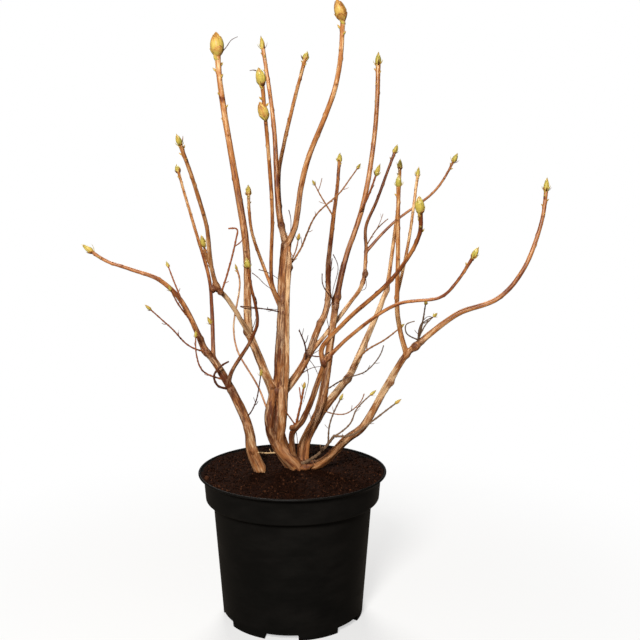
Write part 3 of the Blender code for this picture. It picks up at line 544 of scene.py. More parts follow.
# Where a limb's bark is darker or paler than the rest of it: the height in mm of the patch's
# middle, how far it reaches up and down, and the change of tone.
PATCHES = {
    "trunk": ((286, 18, -0.5), (318, 12, -0.4), (204, 14, -0.5)),
    "trunk_left_lobe": ((202, 16, -1),), "left_stem": ((236, 14, -0.9),),
    "left_arch": ((309, 10, 0.5),), "left_back": ((300, 18, -0.5),), "left_loop": ((308, 24, -1),),
    "tall_left": ((424, 24, -1), (296, 26, 0.95), (247, 14, 0.5), (513, 4, -1.4)),
    "left_front": ((320, 22, 0.9), (351, 10, -0.9)), "fork_left": ((436, 40, -0.6),),
    "back_bough": ((350, 28, -0.9), (270, 12, -0.5)), "back_right": ((270, 12, -0.5),),
    "far_right_back": ((371, 12, -0.5),), "rear_stem": ((175, 12, 1), (270, 12, -0.5)),
    "front_right": ((408, 18, -0.7), (345, 14, -0.5)), "tall_right": ((340, 26, -0.8),),
    "mid_right": ((236, 20, 1.5), (321, 10, -0.6)), "right_stem": ((238, 18, 1.5), (272, 10, -0.6)),
    "right_arch": ((294, 10, 0.7), (345, 20, -0.6), (419, 30, -0.5)),
}

# The bark pieces: a name, the slot, the edge of a cell in mm and the limbs that it joins.
BARK_PIECES = (
    ("trunk_bark", "stem_bark", 0.63, ("trunk", "tall_left", "back_bough")),
    ("side_stem_bark", "stem_bark", 0.62, ("left_stem", "rear_stem", "mid_right", "right_stem")),
    ("left_shoots", "shoot_bark", 0.57,
     ("left_arch", "left_back", "left_loop", "left_front", "thin_riser")),
    ("middle_shoots", "shoot_bark", 0.57,
     ("fork_left", "fork_back", "fork_right", "inner_left", "inner_short")),
    ("back_shoots", "shoot_bark", 0.57, ("back_right", "far_right_back", "tall_right", "mid_riser")),
    ("front_shoots", "shoot_bark", 0.57, ("front_stem", "front_right", "front_far")),
    ("right_shoots", "shoot_bark", 0.57, ("right_arch", "right_riser", "right_slender")),
)

# Hair-thin dead threads that catch among the boughs.
THREADS = (
    ((-2, -20, 410), (0, -18, 400), (-1, -14, 386)),
    ((-31, -20, 353), (-22, -12, 349), (-12, -6, 342)),
    ((-38, -12, 349), (-32, -16, 345), (-26, -18, 339), (-18, -18, 333)),
    ((-50, -10, 316), (-44, -16, 315), (-25, -12, 314), (-12, -4, 312)),
    ((-32, -60, 331), (-31, -52, 324), (-33, -46, 317)),
    ((41, 20, 365), (46, 26, 351), (41, 34, 326), (42, 42, 312)),
    ((41, 44, 316), (35, 44, 298), (37, 40, 286), (36, 38, 262)),
    ((14, 26, 262), (11, 24, 276), (8, 20, 284), (7, 16, 290)),
    ((14, 26, 260), (22, 22, 250), (26, 22, 241)),
    ((15, 27, 259), (22, 22, 264), (29, 20, 269)),
    ((10, 14, 245), (20, 10, 251), (29, 8, 253)),
    ((14, 24, 250), (16, 12, 238), (14, 6, 229), (11, 0, 218)),
    ((5, -14, 196), (15, -18, 216), (19, -20, 204)),
    ((3, -4, 192), (5, -7, 182), (5, -6, 168)),
    ((-65, -31, 551), (-58, -32, 559), (-54, -30, 565), (-48, -28, 568.5)),
    ((76, 84, 340), (76, 60, 327), (71, 54, 325)),
    ((-24, -103, 527), (-28, -103, 528.3), (-31.5, -103, 527.9)),
    ((51, 58, 355), (46, 52, 336), (44, 46, 316)),
    ((120.9, -40, 287.6), (121.3, -44, 298.7), (124.7, -46, 307.1), (129.3, -46, 310.9),
     (134.3, -44, 309.7)),
    ((-40, -9, 290), (-36, -22, 300), (-34, -26, 306)),
)

# The real length and width of each shoot's bud, where the source has only a few sizes.
BUD_SIZES = {
    "left_arch": (13, 5), "left_back": (13.5, 6), "tall_left": (20.5, 11.8), "left_front": (11, 4.6),
    "left_loop": (11, 5), "thin_riser": (7, 2.6), "fork_left": (15, 4.6), "fork_back": (14, 6.6),
    "fork_right": (18, 9.8), "inner_left": (15, 7.6), "inner_short": (13.5, 5.6), "back_bough": (12, 5.6),
    "back_right": (11.5, 5), "far_right_back": (11, 5.2), "front_right": (15, 7.4),
    "front_far": (11, 5), "tall_right": (14.5, 6), "mid_riser": (13.5, 5.4), "right_riser": (12, 5),
    "right_slender": (12, 3.9), "right_arch": (14, 5),
}

# The coat of each bud that isn't plain green, and how far a bud leans from its shoot.
BUD_COATS = {
    "tall_left": "gold", "fork_right": "amber", "inner_short": "gold", "fork_left": "gold",
    "left_arch": "gold", "back_bough": "lime", "front_right": "lime", "inner_left": "lime",
    "front_far": "lime",
}
BUD_LEANS = {"fork_right": (-0.4, -0.1, 0), "inner_left": (-0.12, 0, 0)}

# Buds that sit alone on the side of a limb: a place, a direction and the bud.
LONE_BUDS = (
    ((-19, -92, 489), (-0.32, -0.32, 0.9), Bud(15.5, 8.2, 0, "gold")),
    ((-84, 9, 296), (-0.35, -0.35, 0.87), Bud(9, 3.6, 0, "lime")),
)

# The plain colour of each spray's bark; one that isn't named is brown.
SPRAY_TINTS = {
    "low_right_spray": "twig_grey", "right_knot_spray": "twig_grey", "left_curl": "twig_dark",
    "left_outer_twig": "twig_red", "left_pale_twig": "twig_red", "arch_back_twig": "twig_red",
    "arch_front_twig": "twig_red", "left_low_twig": "twig_dark", "dry_straw": "twig_straw",
    "hooked_twig": "twig_red", "left_front_shoot": "twig_brown", "tall_side_shoot": "twig_red",
    "back_knot_twigs": "twig_dark", "rear_knot_twigs": "twig_dark", "front_riser": "twig_red",
    "trunk_fine_twig": "twig_dark", "rear_low_spray": "twig_grey",
}


# ---- Curves, by the source's rule ----


def some(rng, least, more):
    """A random number: at least so much, and at most so much more."""
    return least + more * rng.random()


def smooth_path(way, step=PATH_STEP):
    """Points about a step apart on a smooth curve through the places of a way, in mm."""
    places = [Vector(place) for place in way]
    knots = [0.0]
    for here, there in zip(places, places[1:]):
        knots.append(knots[-1] + math.sqrt((there - here).length))
    slopes = [(b - a) / (t - s) for a, b, s, t in zip(places, places[1:], knots, knots[1:])]
    tangents = [Vector() for _ in places]
    for i in range(1, len(places) - 1):
        before = knots[i] - knots[i - 1]
        after = knots[i + 1] - knots[i]
        tangents[i] = (slopes[i - 1] * after + slopes[i] * before) / (before + after)
    tangents[0] = 1.5 * slopes[0] - 0.5 * tangents[1]
    tangents[-1] = 1.5 * slopes[-1] - 0.5 * tangents[-2]
    points = []
    for i in range(len(places) - 1):
        span = knots[i + 1] - knots[i]
        steps = max(1, round((places[i + 1] - places[i]).length / step))
        for k in range(steps):
            t = k / steps
            points.append(
                (2 * t**3 - 3 * t**2 + 1) * places[i]
                + (t**3 - 2 * t**2 + t) * span * tangents[i]
                + (3 * t**2 - 2 * t**3) * places[i + 1]
                + (t**3 - t**2) * span * tangents[i + 1]
            )
    points.append(places[-1])
    return points


def lengths_along(points):
    """How far along the path each point lies."""
    lengths = [0.0]
    for here, there in zip(points, points[1:]):
        lengths.append(lengths[-1] + (there - here).length)
    return lengths


def taper(points, foot, tip, flared=False, swell=None):
    """The radius at each point: an even taper, wider where it leaves the ground or swells."""
    lengths = lengths_along(points)
    radii = []
    for length in lengths:
        radius = (foot + (tip - foot) * length / lengths[-1]) / 2
        if flared:
            radius *= 1 + FLARE * math.exp(-length / FLARE_REACH)
        if swell:
            radius += swell.extra / 2 * math.exp(-(((length - swell.along) / SWELL_REACH) ** 2))
        radii.append(radius)
    return radii


def clear_of(paths, places):
    """Whether a twig keeps TWIG_CLEARANCE from every limb."""
    for points, radii in paths:
        for place in places:
            i = min(range(len(points)), key=lambda i: (points[i] - place).length)
            if (points[i] - place).length < radii[i] + TWIG_CLEARANCE:
                return False
    return True


def twiglet_way(start, direction, length, bend):
    """Three places along a short twig that bends upwards to its tip."""
    return start, start + direction * length / 2, start + direction * length + Vector((0, 0, bend * length))


def seeded_twiglets(spray, paths):
    """Side twiglets of the spray's stem, leaving out any that would touch a limb."""
    rng = random.Random(spray.seed)
    stem = spray.twigs[0]
    points = smooth_path(stem.way)
    shortest, longest = TWIGLET_LENGTHS
    found = []
    for _ in range(spray.twiglets):
        i = round(some(rng, *TWIGLET_FEET) * (len(points) - 2))
        forwards = (points[i + 1] - points[i]).normalized()
        across = forwards.orthogonal().normalized()
        around = rng.random() * math.tau
        side = across * math.cos(around) + forwards.cross(across) * math.sin(around)
        direction = forwards * math.cos(TWIGLET_LEAN) + side * math.sin(TWIGLET_LEAN)
        length = shortest + rng.random() * (longest - shortest)
        way = twiglet_way(points[i], direction, length, TWIGLET_BEND)
        if clear_of(paths, way[1:]):
            found.append(Twig(stem.tip * TWIGLET_THINNING, stem.tip * TWIGLET_THINNING**2, None, way))
    return found


# ---- Noise, falls and rings, on arrays ----


def hashed(cells):
    """A number from -1 to 1 for each cell of a lattice."""
    value = cells[:, 0] * 73856093 ^ cells[:, 1] * 19349663 ^ cells[:, 2] * 83492791
    value = (value ^ value >> 13) * 1274126177 & 0x7FFFFFFF
    value = (value ^ value >> 15) * 668265263 & 0x7FFFFFFF
    return (value >> 7 & 0xFFFF) / 32767.5 - 1


def noise(places):
    """Smooth noise from -1 to 1 that changes over about one unit."""
    base = np.floor(places).astype(np.int64)
    part = places - base
    part = part**3 * (part * (part * 6 - 15) + 10)
    total = np.zeros(len(places))
    for corner in np.ndindex(2, 2, 2):
        weight = np.ones(len(places))
        for axis in range(3):
            weight *= part[:, axis] if corner[axis] else 1 - part[:, axis]
        total += weight * hashed(base + np.array(corner))
    return total


def smoothstep(low, high, values):
    share = np.clip((values - low) / (high - low), 0, 1)
    return share * share * (3 - 2 * share)


def bell(offsets, reach):
    """One at the middle, and next to nothing two reaches from it."""
    return np.exp(-((offsets / reach) ** 2))


def turns_round(sides):
    return np.arange(sides) * math.tau / sides


def circle(radius, height, turns):
    """A ring of places about the pot's axis."""
    return np.stack([radius * np.cos(turns), radius * np.sin(turns), np.full(len(turns), height)], -1)


def unit(vectors):
    return vectors / np.maximum(np.linalg.norm(vectors, axis=-1, keepdims=True), 1e-9)


# ---- Strands: the axis of a limb or twig, with its frames ----


class Strand:
    """A limb's axis as arrays: points, radii, lengths, and a frame that turns with it."""

    def __init__(self, name, parent, points, radii, look=PLAIN_LOOK, soft=False, seam=LIMB_FOLD_SHADE):
        self.name = name
        self.parent = parent
        self.points = np.array([tuple(point) for point in points], float)
        self.radii = np.array(radii, float)
        self.look = look
        self.soft = soft  # a lobe or knot, which blends with whatever it lies in
        self.seam = seam
        self.nodes = []
        self.measure()

    def measure(self):
        steps = np.linalg.norm(np.diff(self.points, axis=0), axis=1)
        self.lengths = np.concatenate([[0], np.cumsum(steps)])
        self.tangents = unit(np.gradient(self.points, axis=0))
        upright = abs(self.tangents[0, 2]) >= UPRIGHT
        across = np.cross(self.tangents[0], (1, 0, 0) if upright else SLANT)
        frame = []
        for tangent in self.tangents:
            across = unit(across - tangent * (across @ tangent))
            frame.append(across)
        self.across = np.array(frame)
        self.aside = np.cross(self.tangents, self.across)

    def wander(self, seed, amount):
        """Bends the axis a little, as a shoot kinks from node to node, but not at its ends."""
        along = self.lengths
        foot, tip = WANDER_ENDS
        hold = smoothstep(0, foot, along) * smoothstep(0, tip, along[-1] - along)
        zeros = np.zeros_like(along)
        for frame, shift in ((self.across, 0), (self.aside, 50)):
            slow, quick = (
                share * noise(np.stack([along / length, zeros + seed, zeros + shift + lane], 1))
                for length, share, lane in zip(WANDER_LENGTHS, WANDER_SHARES, (0.5, 9.5)))
            self.points = self.points + frame * (hold * amount * (slow + quick))[:, None]
        self.measure()

    def thicken(self, extra, away, reach):
        """Adds a share of the radius, which fades with the distance away from one end."""
        self.radii = self.radii * (1 + extra * np.exp(-away / reach))

    def spokes(self, turns):
        """The directions straight out from each point of the axis, at turns round it."""
        turns = turns[None, :, None]
        return self.across[:, None] * np.cos(turns) + self.aside[:, None] * np.sin(turns)


def grounded(limb):
    return limb.way[0][2] <= SOIL_LEVEL


def limb_strand(limb, index):
    """A limb as the source has it, but round at its foot and bent a little from node to node."""
    points = smooth_path(limb.way, FINE_STEP)
    radii = np.array(taper(points, limb.foot, limb.tip, grounded(limb), limb.swell))
    if limb.name == "trunk":
        radii -= TRUNK_WAIST * bell(np.array(lengths_along(points)) - WAIST_ALONG, WAIST_REACH)
    if grounded(limb):
        hidden = sum(point.z < TOE_HEIGHT for point in points)
        points, radii = points[hidden:], radii[hidden:]
    strand = Strand(limb.name, limb.grows_from, points, radii, BARK[limb.name])
    if limb.grows_from and not grounded(limb):
        strand.thicken(FOOT_SWELL, strand.lengths, FOOT_REACH + limb.foot)
    if limb.bud:
        strand.thicken(TIP_SWELL, strand.lengths[-1] - strand.lengths, TIP_REACH)
    strand.wander(index + 0.5, 0.32 + 0.5 / limb.foot)
    if limb.bud:
        strand.nodes = bud_nodes(strand, limb.bud, NODE_SEED + index)
    return strand


def lobe_strand(limb):
    points = smooth_path(limb.way, FINE_STEP)
    radii = np.array(taper(points, limb.foot, limb.tip, False, limb.swell))
    share = np.linspace(0, 1, len(points))
    ends = smoothstep(0, LOBE_FADE, share) * smoothstep(0, LOBE_FADE, 1 - share)
    radii *= LOBE_END + (1 - LOBE_END) * ends
    return Strand(limb.name, limb.grows_from, points, radii, BARK[limb.name], True, LOBE_FOLD_SHADE)


def nearest_limb(limbs, place):
    """The limb that a place lies nearest to, and which of its points."""
    def from_skin(limb):
        return (np.linalg.norm(limb.points - place, axis=1) - limb.radii).min()

    limb = min(limbs, key=from_skin)
    return limb, int(np.linalg.norm(limb.points - place, axis=1).argmin())


def knot_strand(index, place, radius, limbs):
    """A swelling along the limb that it lies nearest to."""
    middle = np.array(place, float)
    limb, i = nearest_limb(limbs, middle)
    steps = np.linspace(-1, 1, KNOT_STEPS)
    points = middle + limb.tangents[i] * steps[:, None] * radius * KNOT_LENGTH
    radii = radius * KNOT_SIZE * (1 - 0.45 * steps**2)
    return Strand(f"knot_{index}", limb.name, points, radii, KNOT_LOOK, soft=True)


def bud_nodes(strand, bud, seed):
    """The places of a shoot's nodes, from its tip down, as (length along, turn)."""
    rng = random.Random(seed)
    along = strand.lengths[-1] - bud.width * 0.9
    turn = rng.random() * math.tau
    spacing = NODE_SPACING
    found = []
    while along > NODE_LOWEST * strand.lengths[-1]:
        found.append((along, turn))
        along -= spacing * some(rng, *NODE_CHANCE)
        spacing = min(spacing * NODE_GROWTH, NODE_LIMIT)
        turn += GOLDEN_TURN
    return found


# ---- The limbs as one blended surface ----


def read_strand(strand, places):
    """What is read for places near a strand, but for which strand it is."""
    found = []
    for start in range(0, len(places), CHUNK):
        some = places[start:start + CHUNK]
        squares = (strand.points**2).sum(1)[None] - 2 * some @ strand.points.T
        i = squares.argmin(1)
        step = ((some - strand.points[i]) * strand.tangents[i]).sum(1)
        low = np.where(i == 0, 0, -FINE_STEP)
        high = np.where(i == len(strand.points) - 1, 0, FINE_STEP)
        step = np.clip(step, low, high)
        out = some - strand.points[i] - strand.tangents[i] * step[:, None]
        distance = np.linalg.norm(out, axis=1)
        along = strand.lengths[i] + step
        radius = np.interp(along, strand.lengths, strand.radii)
        direction = out / np.maximum(distance, 1e-6)[:, None]
        cosine = (direction * strand.across[i]).sum(1)
        sine = (direction * strand.aside[i]).sum(1)
        found.append(np.column_stack([distance - radius, direction, along, cosine, sine, radius]))
    return np.concatenate(found)


class Surface:
    """The blended skin of all the strands."""

    def __init__(self, strands):
        self.strands = strands
        joined = [[self.joins(one, other) for other in strands] for one in strands]
        self.kin = np.array(joined) | np.array(joined).T
        thick = np.array([strand.radii[min(12, len(strand.radii) - 1)] for strand in strands])
        least, share = LIMB_BLEND
        self.blend = least + share * np.minimum(thick[:, None], thick[None])
        soft = np.array([strand.soft for strand in strands])
        self.blend[soft] = SOFT_BLEND
        self.blend[:, soft] = SOFT_BLEND

    def joins(self, one, other):
        """Whether one strand blends into another, rather than passing it with a sharp line where they meet.
        """
        if one.parent == other.name or one.soft or other.soft:
            return True
        if one.parent is None or one.parent != other.parent:
            return False
        apart = np.linalg.norm(one.points[0] - other.points[0])
        return apart < one.radii[0] + other.radii[0] + SIBLING_GAP

    def read(self, places, own):
        """The two nearest strands of each place, and how near the piece's own strands are."""
        count = len(places)
        first = np.full((count, READINGS), FAR)
        second = np.full((count, READINGS), FAR)
        own_best = np.full(count, FAR)
        other_best = np.full(count, FAR)
        for index, strand in enumerate(self.strands):
            reach = strand.radii.max() + NEAR
            low = strand.points.min(0) - reach
            high = strand.points.max(0) + reach
            near = np.flatnonzero(((places > low) & (places < high)).all(1))
            if not len(near):
                continue
            rows = np.column_stack([read_strand(strand, places[near]), np.full(len(near), index)])
            best = own_best if index in own else other_best
            best[near] = np.minimum(best[near], rows[:, APART])
            closer = rows[:, APART] < first[near, APART]
            second[near[closer]] = first[near[closer]]
            first[near[closer]] = rows[closer]
            later = near[~closer]
            between = rows[~closer][:, APART] < second[later, APART]
            second[later[between]] = rows[~closer][between]
        return first, second, own_best, other_best

    def blended(self, first, second):
        """The smooth union's signed distance, its outward direction and the first's weight."""
        there = second[:, APART] < FAR
        one = first[:, WHICH].astype(int)
        other = np.where(there, second[:, WHICH], first[:, WHICH]).astype(int)
        width = self.blend[one, other]
        gap = np.where(self.kin[one, other] & there, second[:, APART] - first[:, APART], FAR)
        overlap = np.clip(1 - gap / width, 0, 1)
        value = first[:, APART] - overlap**2 * width / 4
        weight = 1 - overlap / 2
        out = unit(first[:, OUT] * weight[:, None] + second[:, OUT] * (1 - weight)[:, None])
        return value, out, weight

    def settle(self, places, own):
        """Moves places onto the skin, and reads it there."""
        for step in range(SETTLE_STEPS + 1):
            first, second, own_best, other_best = self.read(places, own)
            value, out, weight = self.blended(first, second)
            hold = 1 - smoothstep(DEEP * 0.7, DEEP, np.abs(value))
            if step < SETTLE_STEPS:
                places = places - out * (value * hold)[:, None]
        dip = SINK * smoothstep(0, 0.7, own_best - other_best)
        return places, out, weight, hold, dip, first, second


# ---- The bark's relief ----


def bark_relief(rows, strands, levels):
    """Height in mm of the bark at places read on their strands, and what shows of it."""
    index = np.clip(rows[:, WHICH].astype(int), 0, len(strands) - 1)
    along, cosine, sine, radius = rows[:, ALONG], rows[:, COSINE], rows[:, SINE], rows[:, RADIUS]
    radius = np.minimum(radius, WIDEST)
    looks = np.array([strand.look for strand in strands])[index]
    whole = np.array([strand.lengths[-1] for strand in strands])[index]
    share = np.clip(along / whole, 0, 1)
    age = looks[:, 0] + (looks[:, 1] - looks[:, 0]) * share
    tone = looks[:, 2] + (looks[:, 3] - looks[:, 2]) * smoothstep(0.2, 0.8, share)
    flow = np.column_stack([cosine * radius, sine * radius, along]) + (index * 37.7)[:, None]

    def grain(kind):
        width, length = GRAINS[kind]
        return noise(flow / (width, width, length))

    wander = PATCH_WANDER * grain("wander")
    for k, strand in enumerate(strands):
        for level, reach, shift in PATCHES.get(strand.name, ()):
            tone = tone + np.where(index == k, shift * bell(levels + wander - level, reach), 0)
    rise = smoothstep(*CALM_LEVELS, levels)
    old = smoothstep(0.1, 0.8, age) * (0.4 + 0.6 * rise)
    fibres = 1 - np.abs(grain("fibres")) * 1.8
    strip = smoothstep(0.06, 0.2, grain("flakes") + 0.35 * grain("chips"))
    edge = 4 * strip * (1 - strip)
    groove = smoothstep(0.55, 1, 1 - np.abs(grain("grooves")) * 2.6)
    lumps = grain("lumps") * LUMP_SHARE * radius
    flutes = grain("flutes") * FLUTE_SHARE * radius * old
    flaking = FIBRE_HEIGHT * fibres + STRIP_HEIGHT * strip - GROOVE_DEPTH * groove - OLD_DEPTH
    height = lumps + flutes + old * flaking
    young_fine, old_fine = FINE_HEIGHTS
    height += grain("fine") * (young_fine + old_fine * old)
    # Painted shade in the bark's hollows: its grooves, under the edges of its strips and between its fibres.
    crease_shade = np.clip(old * (0.6 * groove + 0.3 * edge + 0.25 * (1 - fibres) * (1 - strip)), 0, 1)
    scar = np.zeros(len(rows))
    for k, strand in enumerate(strands):
        mine = np.flatnonzero(index == k)
        for node_along, turn in strand.nodes:
            near = mine[np.abs(along[mine] - node_along) < SCAR_REACH]
            facing = cosine[near] * math.cos(turn) + sine[near] * math.sin(turn)
            across = np.sqrt(np.maximum(0, 2 - 2 * facing)) * radius[near]
            lump, mark = leaf_scar(along[near] - node_along, across)
            height[near] += lump * np.minimum(1, radius[near] / 2)
            scar[near] = np.maximum(scar[near], mark)
    knotty = np.array([strand.name.startswith("knot") for strand in strands])[index]
    out = rows[:, OUT]
    burl = noise(out * 1.7 + index[:, None]) * 0.4 + noise(out * 3.5 + index[:, None]) * 0.2
    height = np.where(knotty, burl, height)
    scar = np.where(knotty, 0.55 + 0.45 * noise(out * 3), scar)
    calm = 0.6 + 0.4 * rise
    return np.column_stack([height, age, tone, strip * old, crease_shade, np.clip(scar, 0, 1), calm, flow])


def leaf_scar(up, across):
    """The lump and the dark mark of a leaf scar, at places up and across from it."""
    height, length, width = SCAR_LUMP
    ring_height, ring_length = SCAR_RING
    lump = np.exp(-((up / length) ** 2) - (across / width) ** 2)
    ring = bell(up + SCAR_RING_DROP, ring_length)
    mark_length, mark_width = SCAR_MARK
    mark = np.exp(-(((up + SCAR_MARK_DROP) / mark_length) ** 2) - (across / mark_width) ** 2)
    return height * lump + ring_height * ring, mark


def seam_shade(first, second, strands):
    """How deep in the fold between two strands each place lies: the strength of the shade painted there."""
    depth = np.array([strand.seam for strand in strands])
    there = second[:, APART] < FAR
    one = first[:, WHICH].astype(int)
    other = np.where(there, second[:, WHICH], one).astype(int)
    gap = np.abs(second[:, APART] - first[:, APART])
    fold = smoothstep(0.06, 0.55, 1 - (first[:, OUT] * second[:, OUT]).sum(1))
    return np.where(there, np.maximum(depth[one], depth[other]) * fold * bell(gap, SEAM_WIDTH), 0)


def tube_faces(rings, start, end):
    """Vertices, quads and triangles of a tube of rings with a point at each end."""
    count, sides = rings.shape[:2]
    here = np.arange(count * sides).reshape(count, sides)
    there = np.roll(here, -1, axis=1)
    quads = np.stack([here[:-1], there[:-1], there[1:], here[1:]], -1).reshape(-1, 4)
    first = count * sides
    foot = np.stack([there[0], here[0], np.full(sides, first)], -1)
    tip = np.stack([here[-1], there[-1], np.full(sides, first + 1)], -1)
    points = np.concatenate([rings.reshape(-1, 3), [start, end]])
    return points, quads, np.concatenate([foot, tip])


def smooth_tube(strand):
    """A closed tube of a strand's own size, with a round cap at each end."""
    ring = strand.spokes(turns_round(TUBE_SIDES))
    rings = list(strand.points[:, None] + ring * strand.radii[:, None, None])
    caps = []
    poles = []
    for end, outwards in ((0, -1), (-1, 1)):
        cap = []
        for slope in CAP_SLOPES:
            lift = strand.tangents[end] * outwards * strand.radii[end] * math.sin(slope)
            cap.append(strand.points[end] + lift + ring[end] * strand.radii[end] * math.cos(slope))
        caps.append(cap)
        poles.append(strand.points[end] + strand.tangents[end] * outwards * strand.radii[end])
    return tube_faces(np.array(caps[0][::-1] + rings + caps[1]), *poles)


# ---- Pieces ----


class Shape:
    """Vertices and faces gathered from arrays, in mm, for one joined piece."""

    def __init__(self):
        self.points = []
        self.quads = []
        self.tris = []
        self.quad_paint = []
        self.tri_paint = []
        self.count = 0

    def add(self, points, quads, tris, paint=0):
        self.points.append(points)
        for faces, kept, paints in ((quads, self.quads, self.quad_paint), (tris, self.tris, self.tri_paint)):
            if len(faces):
                kept.append(np.asarray(faces) + self.count)
                paints.append(np.broadcast_to(paint, len(faces)))
        self.count += len(points)

    def mesh(self, name, unit_size=MM):
        points = np.concatenate(self.points) * unit_size
        quads = np.concatenate(self.quads) if self.quads else np.empty((0, 4), int)
        tris = np.concatenate(self.tris) if self.tris else np.empty((0, 3), int)
        mesh = bpy.data.meshes.new(name)
        mesh.vertices.add(len(points))
        mesh.vertices.foreach_set("co", points.astype(np.float32).ravel())
        corners = np.concatenate([quads.ravel(), tris.ravel()]).astype(np.int32)
        mesh.loops.add(len(corners))
        mesh.loops.foreach_set("vertex_index", corners)
        sizes = np.repeat((4, 3), (len(quads), len(tris)))
        starts = np.concatenate([[0], np.cumsum(sizes)[:-1]]).astype(np.int32)
        paint = np.concatenate(self.quad_paint + self.tri_paint).astype(np.int32)
        mesh.polygons.add(len(sizes))
        mesh.polygons.foreach_set("loop_start", starts)
        mesh.polygons.foreach_set("material_index", paint)
        mesh.update(calc_edges=True)
        mesh.polygons.foreach_set("use_smooth", np.ones(len(sizes), bool))
        mesh.validate()
        return mesh


def placed(name, data):
    """A new object in the scene that holds a mesh, a light or a camera."""
    obj = bpy.data.objects.new(name, data)
    bpy.context.scene.collection.objects.link(obj)
    return obj


def finish_piece(name, form, materials, nodes=()):
    """Makes a piece of a shape or a mesh, riding on the plant's one body."""
    mesh = form.mesh(name) if isinstance(form, Shape) else form
    obj = placed(name, mesh)
    for material in materials:
        mesh.materials.append(material)
    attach(obj, "root")
    if nodes:
        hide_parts(*nodes)


def modified_mesh(obj):
    """A new mesh of an object as its modifiers leave it."""
    graph = bpy.context.evaluated_depsgraph_get()
    return bpy.data.meshes.new_from_object(obj.evaluated_get(graph))


def remeshed(shape, cell):
    """The outer skin of overlapping closed shapes, as places and faces of cells of one size."""
    mesh = shape.mesh("blank", 1)
    obj = placed("blank", mesh)
    remesh = obj.modifiers.new("Remesh", "REMESH")
    remesh.mode = "VOXEL"
    remesh.voxel_size = cell
    remesh.adaptivity = 0
    skin = modified_mesh(obj)
    bpy.data.objects.remove(obj)
    bpy.data.meshes.remove(mesh)
    return skin


def belongs(strand, limbs):
    """Whether a strand is one of a piece's limbs, or a lobe or knot on one of them."""
    return strand.name in limbs or strand.parent in limbs and strand.soft


def bark_piece(name, cell, limbs, surface, material):
    """One joined piece of bark: the blended skin of its limbs with the bark's relief."""
    strands = surface.strands
    own = [i for i, strand in enumerate(strands) if belongs(strand, limbs)]
    shape = Shape()
    for i in own:
        shape.add(*smooth_tube(strands[i]))
    mesh = remeshed(shape, cell)
    places = np.empty(len(mesh.vertices) * 3, np.float32)
    mesh.vertices.foreach_get("co", places)
    places = places.reshape(-1, 3).astype(float)
    places, out, weight, hold, dip, first, second = surface.settle(places, own)
    look = bark_relief(first, strands, places[:, 2])
    other = bark_relief(second, strands, places[:, 2])
    share = np.where(second[:, APART] < FAR, weight, 1)[:, None]
    shared = slice(0, FLOW.start)
    look[:, shared] = look[:, shared] * share + other[:, shared] * (1 - share)
    # The fold between strands adds painted shade to the crease mark, and sinks the skin a little.
    seam = seam_shade(first, second, strands)
    look[:, CREASE_SHADE] = np.maximum(look[:, CREASE_SHADE], seam)
    places += out * ((look[:, 0] - dip - SEAM_DEPTH * seam) * hold)[:, None]
    mesh.vertices.foreach_set("co", (places * MM).astype(np.float32).ravel())
    mesh.update()
    mesh.name = name
    for column, attribute in enumerate(LOOKS, 1):
        layer = mesh.attributes.new(attribute, "FLOAT", "POINT")
        layer.data.foreach_set("value", look[:, column].astype(np.float32))
    layer = mesh.attributes.new("flow", "FLOAT_VECTOR", "POINT")
    layer.data.foreach_set("vector", look[:, FLOW].astype(np.float32).ravel())
    mesh.shade_smooth()
    finish_piece(name, mesh, [material], limbs)


# ---- Twigs ----


def twig_strand(name, parent, points, radii, seed):
    strand = Strand(name, parent, points, np.array(radii) * TWIG_FINENESS)
    strand.thicken(TWIG_FOOT, strand.lengths, TWIG_FOOT_REACH)
    strand.wander(seed, TWIG_WANDER)
    return strand


def add_twig(shape, strand, sides, seed, paint):
    """A twig's tube, rough, with the small swellings of its nodes."""
    rng = random.Random(seed)
    radii = strand.radii.copy()
    along = strand.lengths
    place = some(rng, *JOINT_START)
    while place < along[-1] - 1:
        radii *= 1 + JOINT_SWELL * bell(along - place, JOINT_REACH)
        place += some(rng, *JOINT_SPACING)
    turns = turns_round(sides)
    rough = noise(np.stack([
        np.repeat(along / 1.6, sides), np.tile(np.cos(turns) * 1.3 + seed, len(along)),
        np.tile(np.sin(turns) * 1.3, len(along))], 1)).reshape(len(along), sides)
    reach = radii[:, None] * (1 + TWIG_ROUGHNESS * rough)
    rings = strand.points[:, None] + strand.spokes(turns) * reach[..., None]
    tip = strand.points[-1] + strand.tangents[-1] * radii[-1] * 0.6
    shape.add(*tube_faces(rings, strand.points[0], tip), paint)


def finer_twiglets(strand, paths, seed):
    """The finest side twigs, short and thin, that keep clear of the limbs."""
    rng = random.Random(seed)
    found = []
    place = some(rng, *FINEST_START)
    while place < strand.lengths[-1] - 4:
        i = int(np.searchsorted(strand.lengths, place))
        turn = rng.random() * math.tau
        side = strand.across[i] * math.cos(turn) + strand.aside[i] * math.sin(turn)
        lean = math.radians(some(rng, *FINEST_LEAN))
        direction = Vector(strand.tangents[i] * math.cos(lean) + side * math.sin(lean))
        length = some(rng, *FINEST_LENGTH)
        way = twiglet_way(Vector(strand.points[i]), direction, length, FINEST_BEND)
        if rng.random() < FINEST_SHARE and clear_of(paths, way[1:]):
            found.append(way)
        place += some(rng, *FINEST_SPACING)
    return found


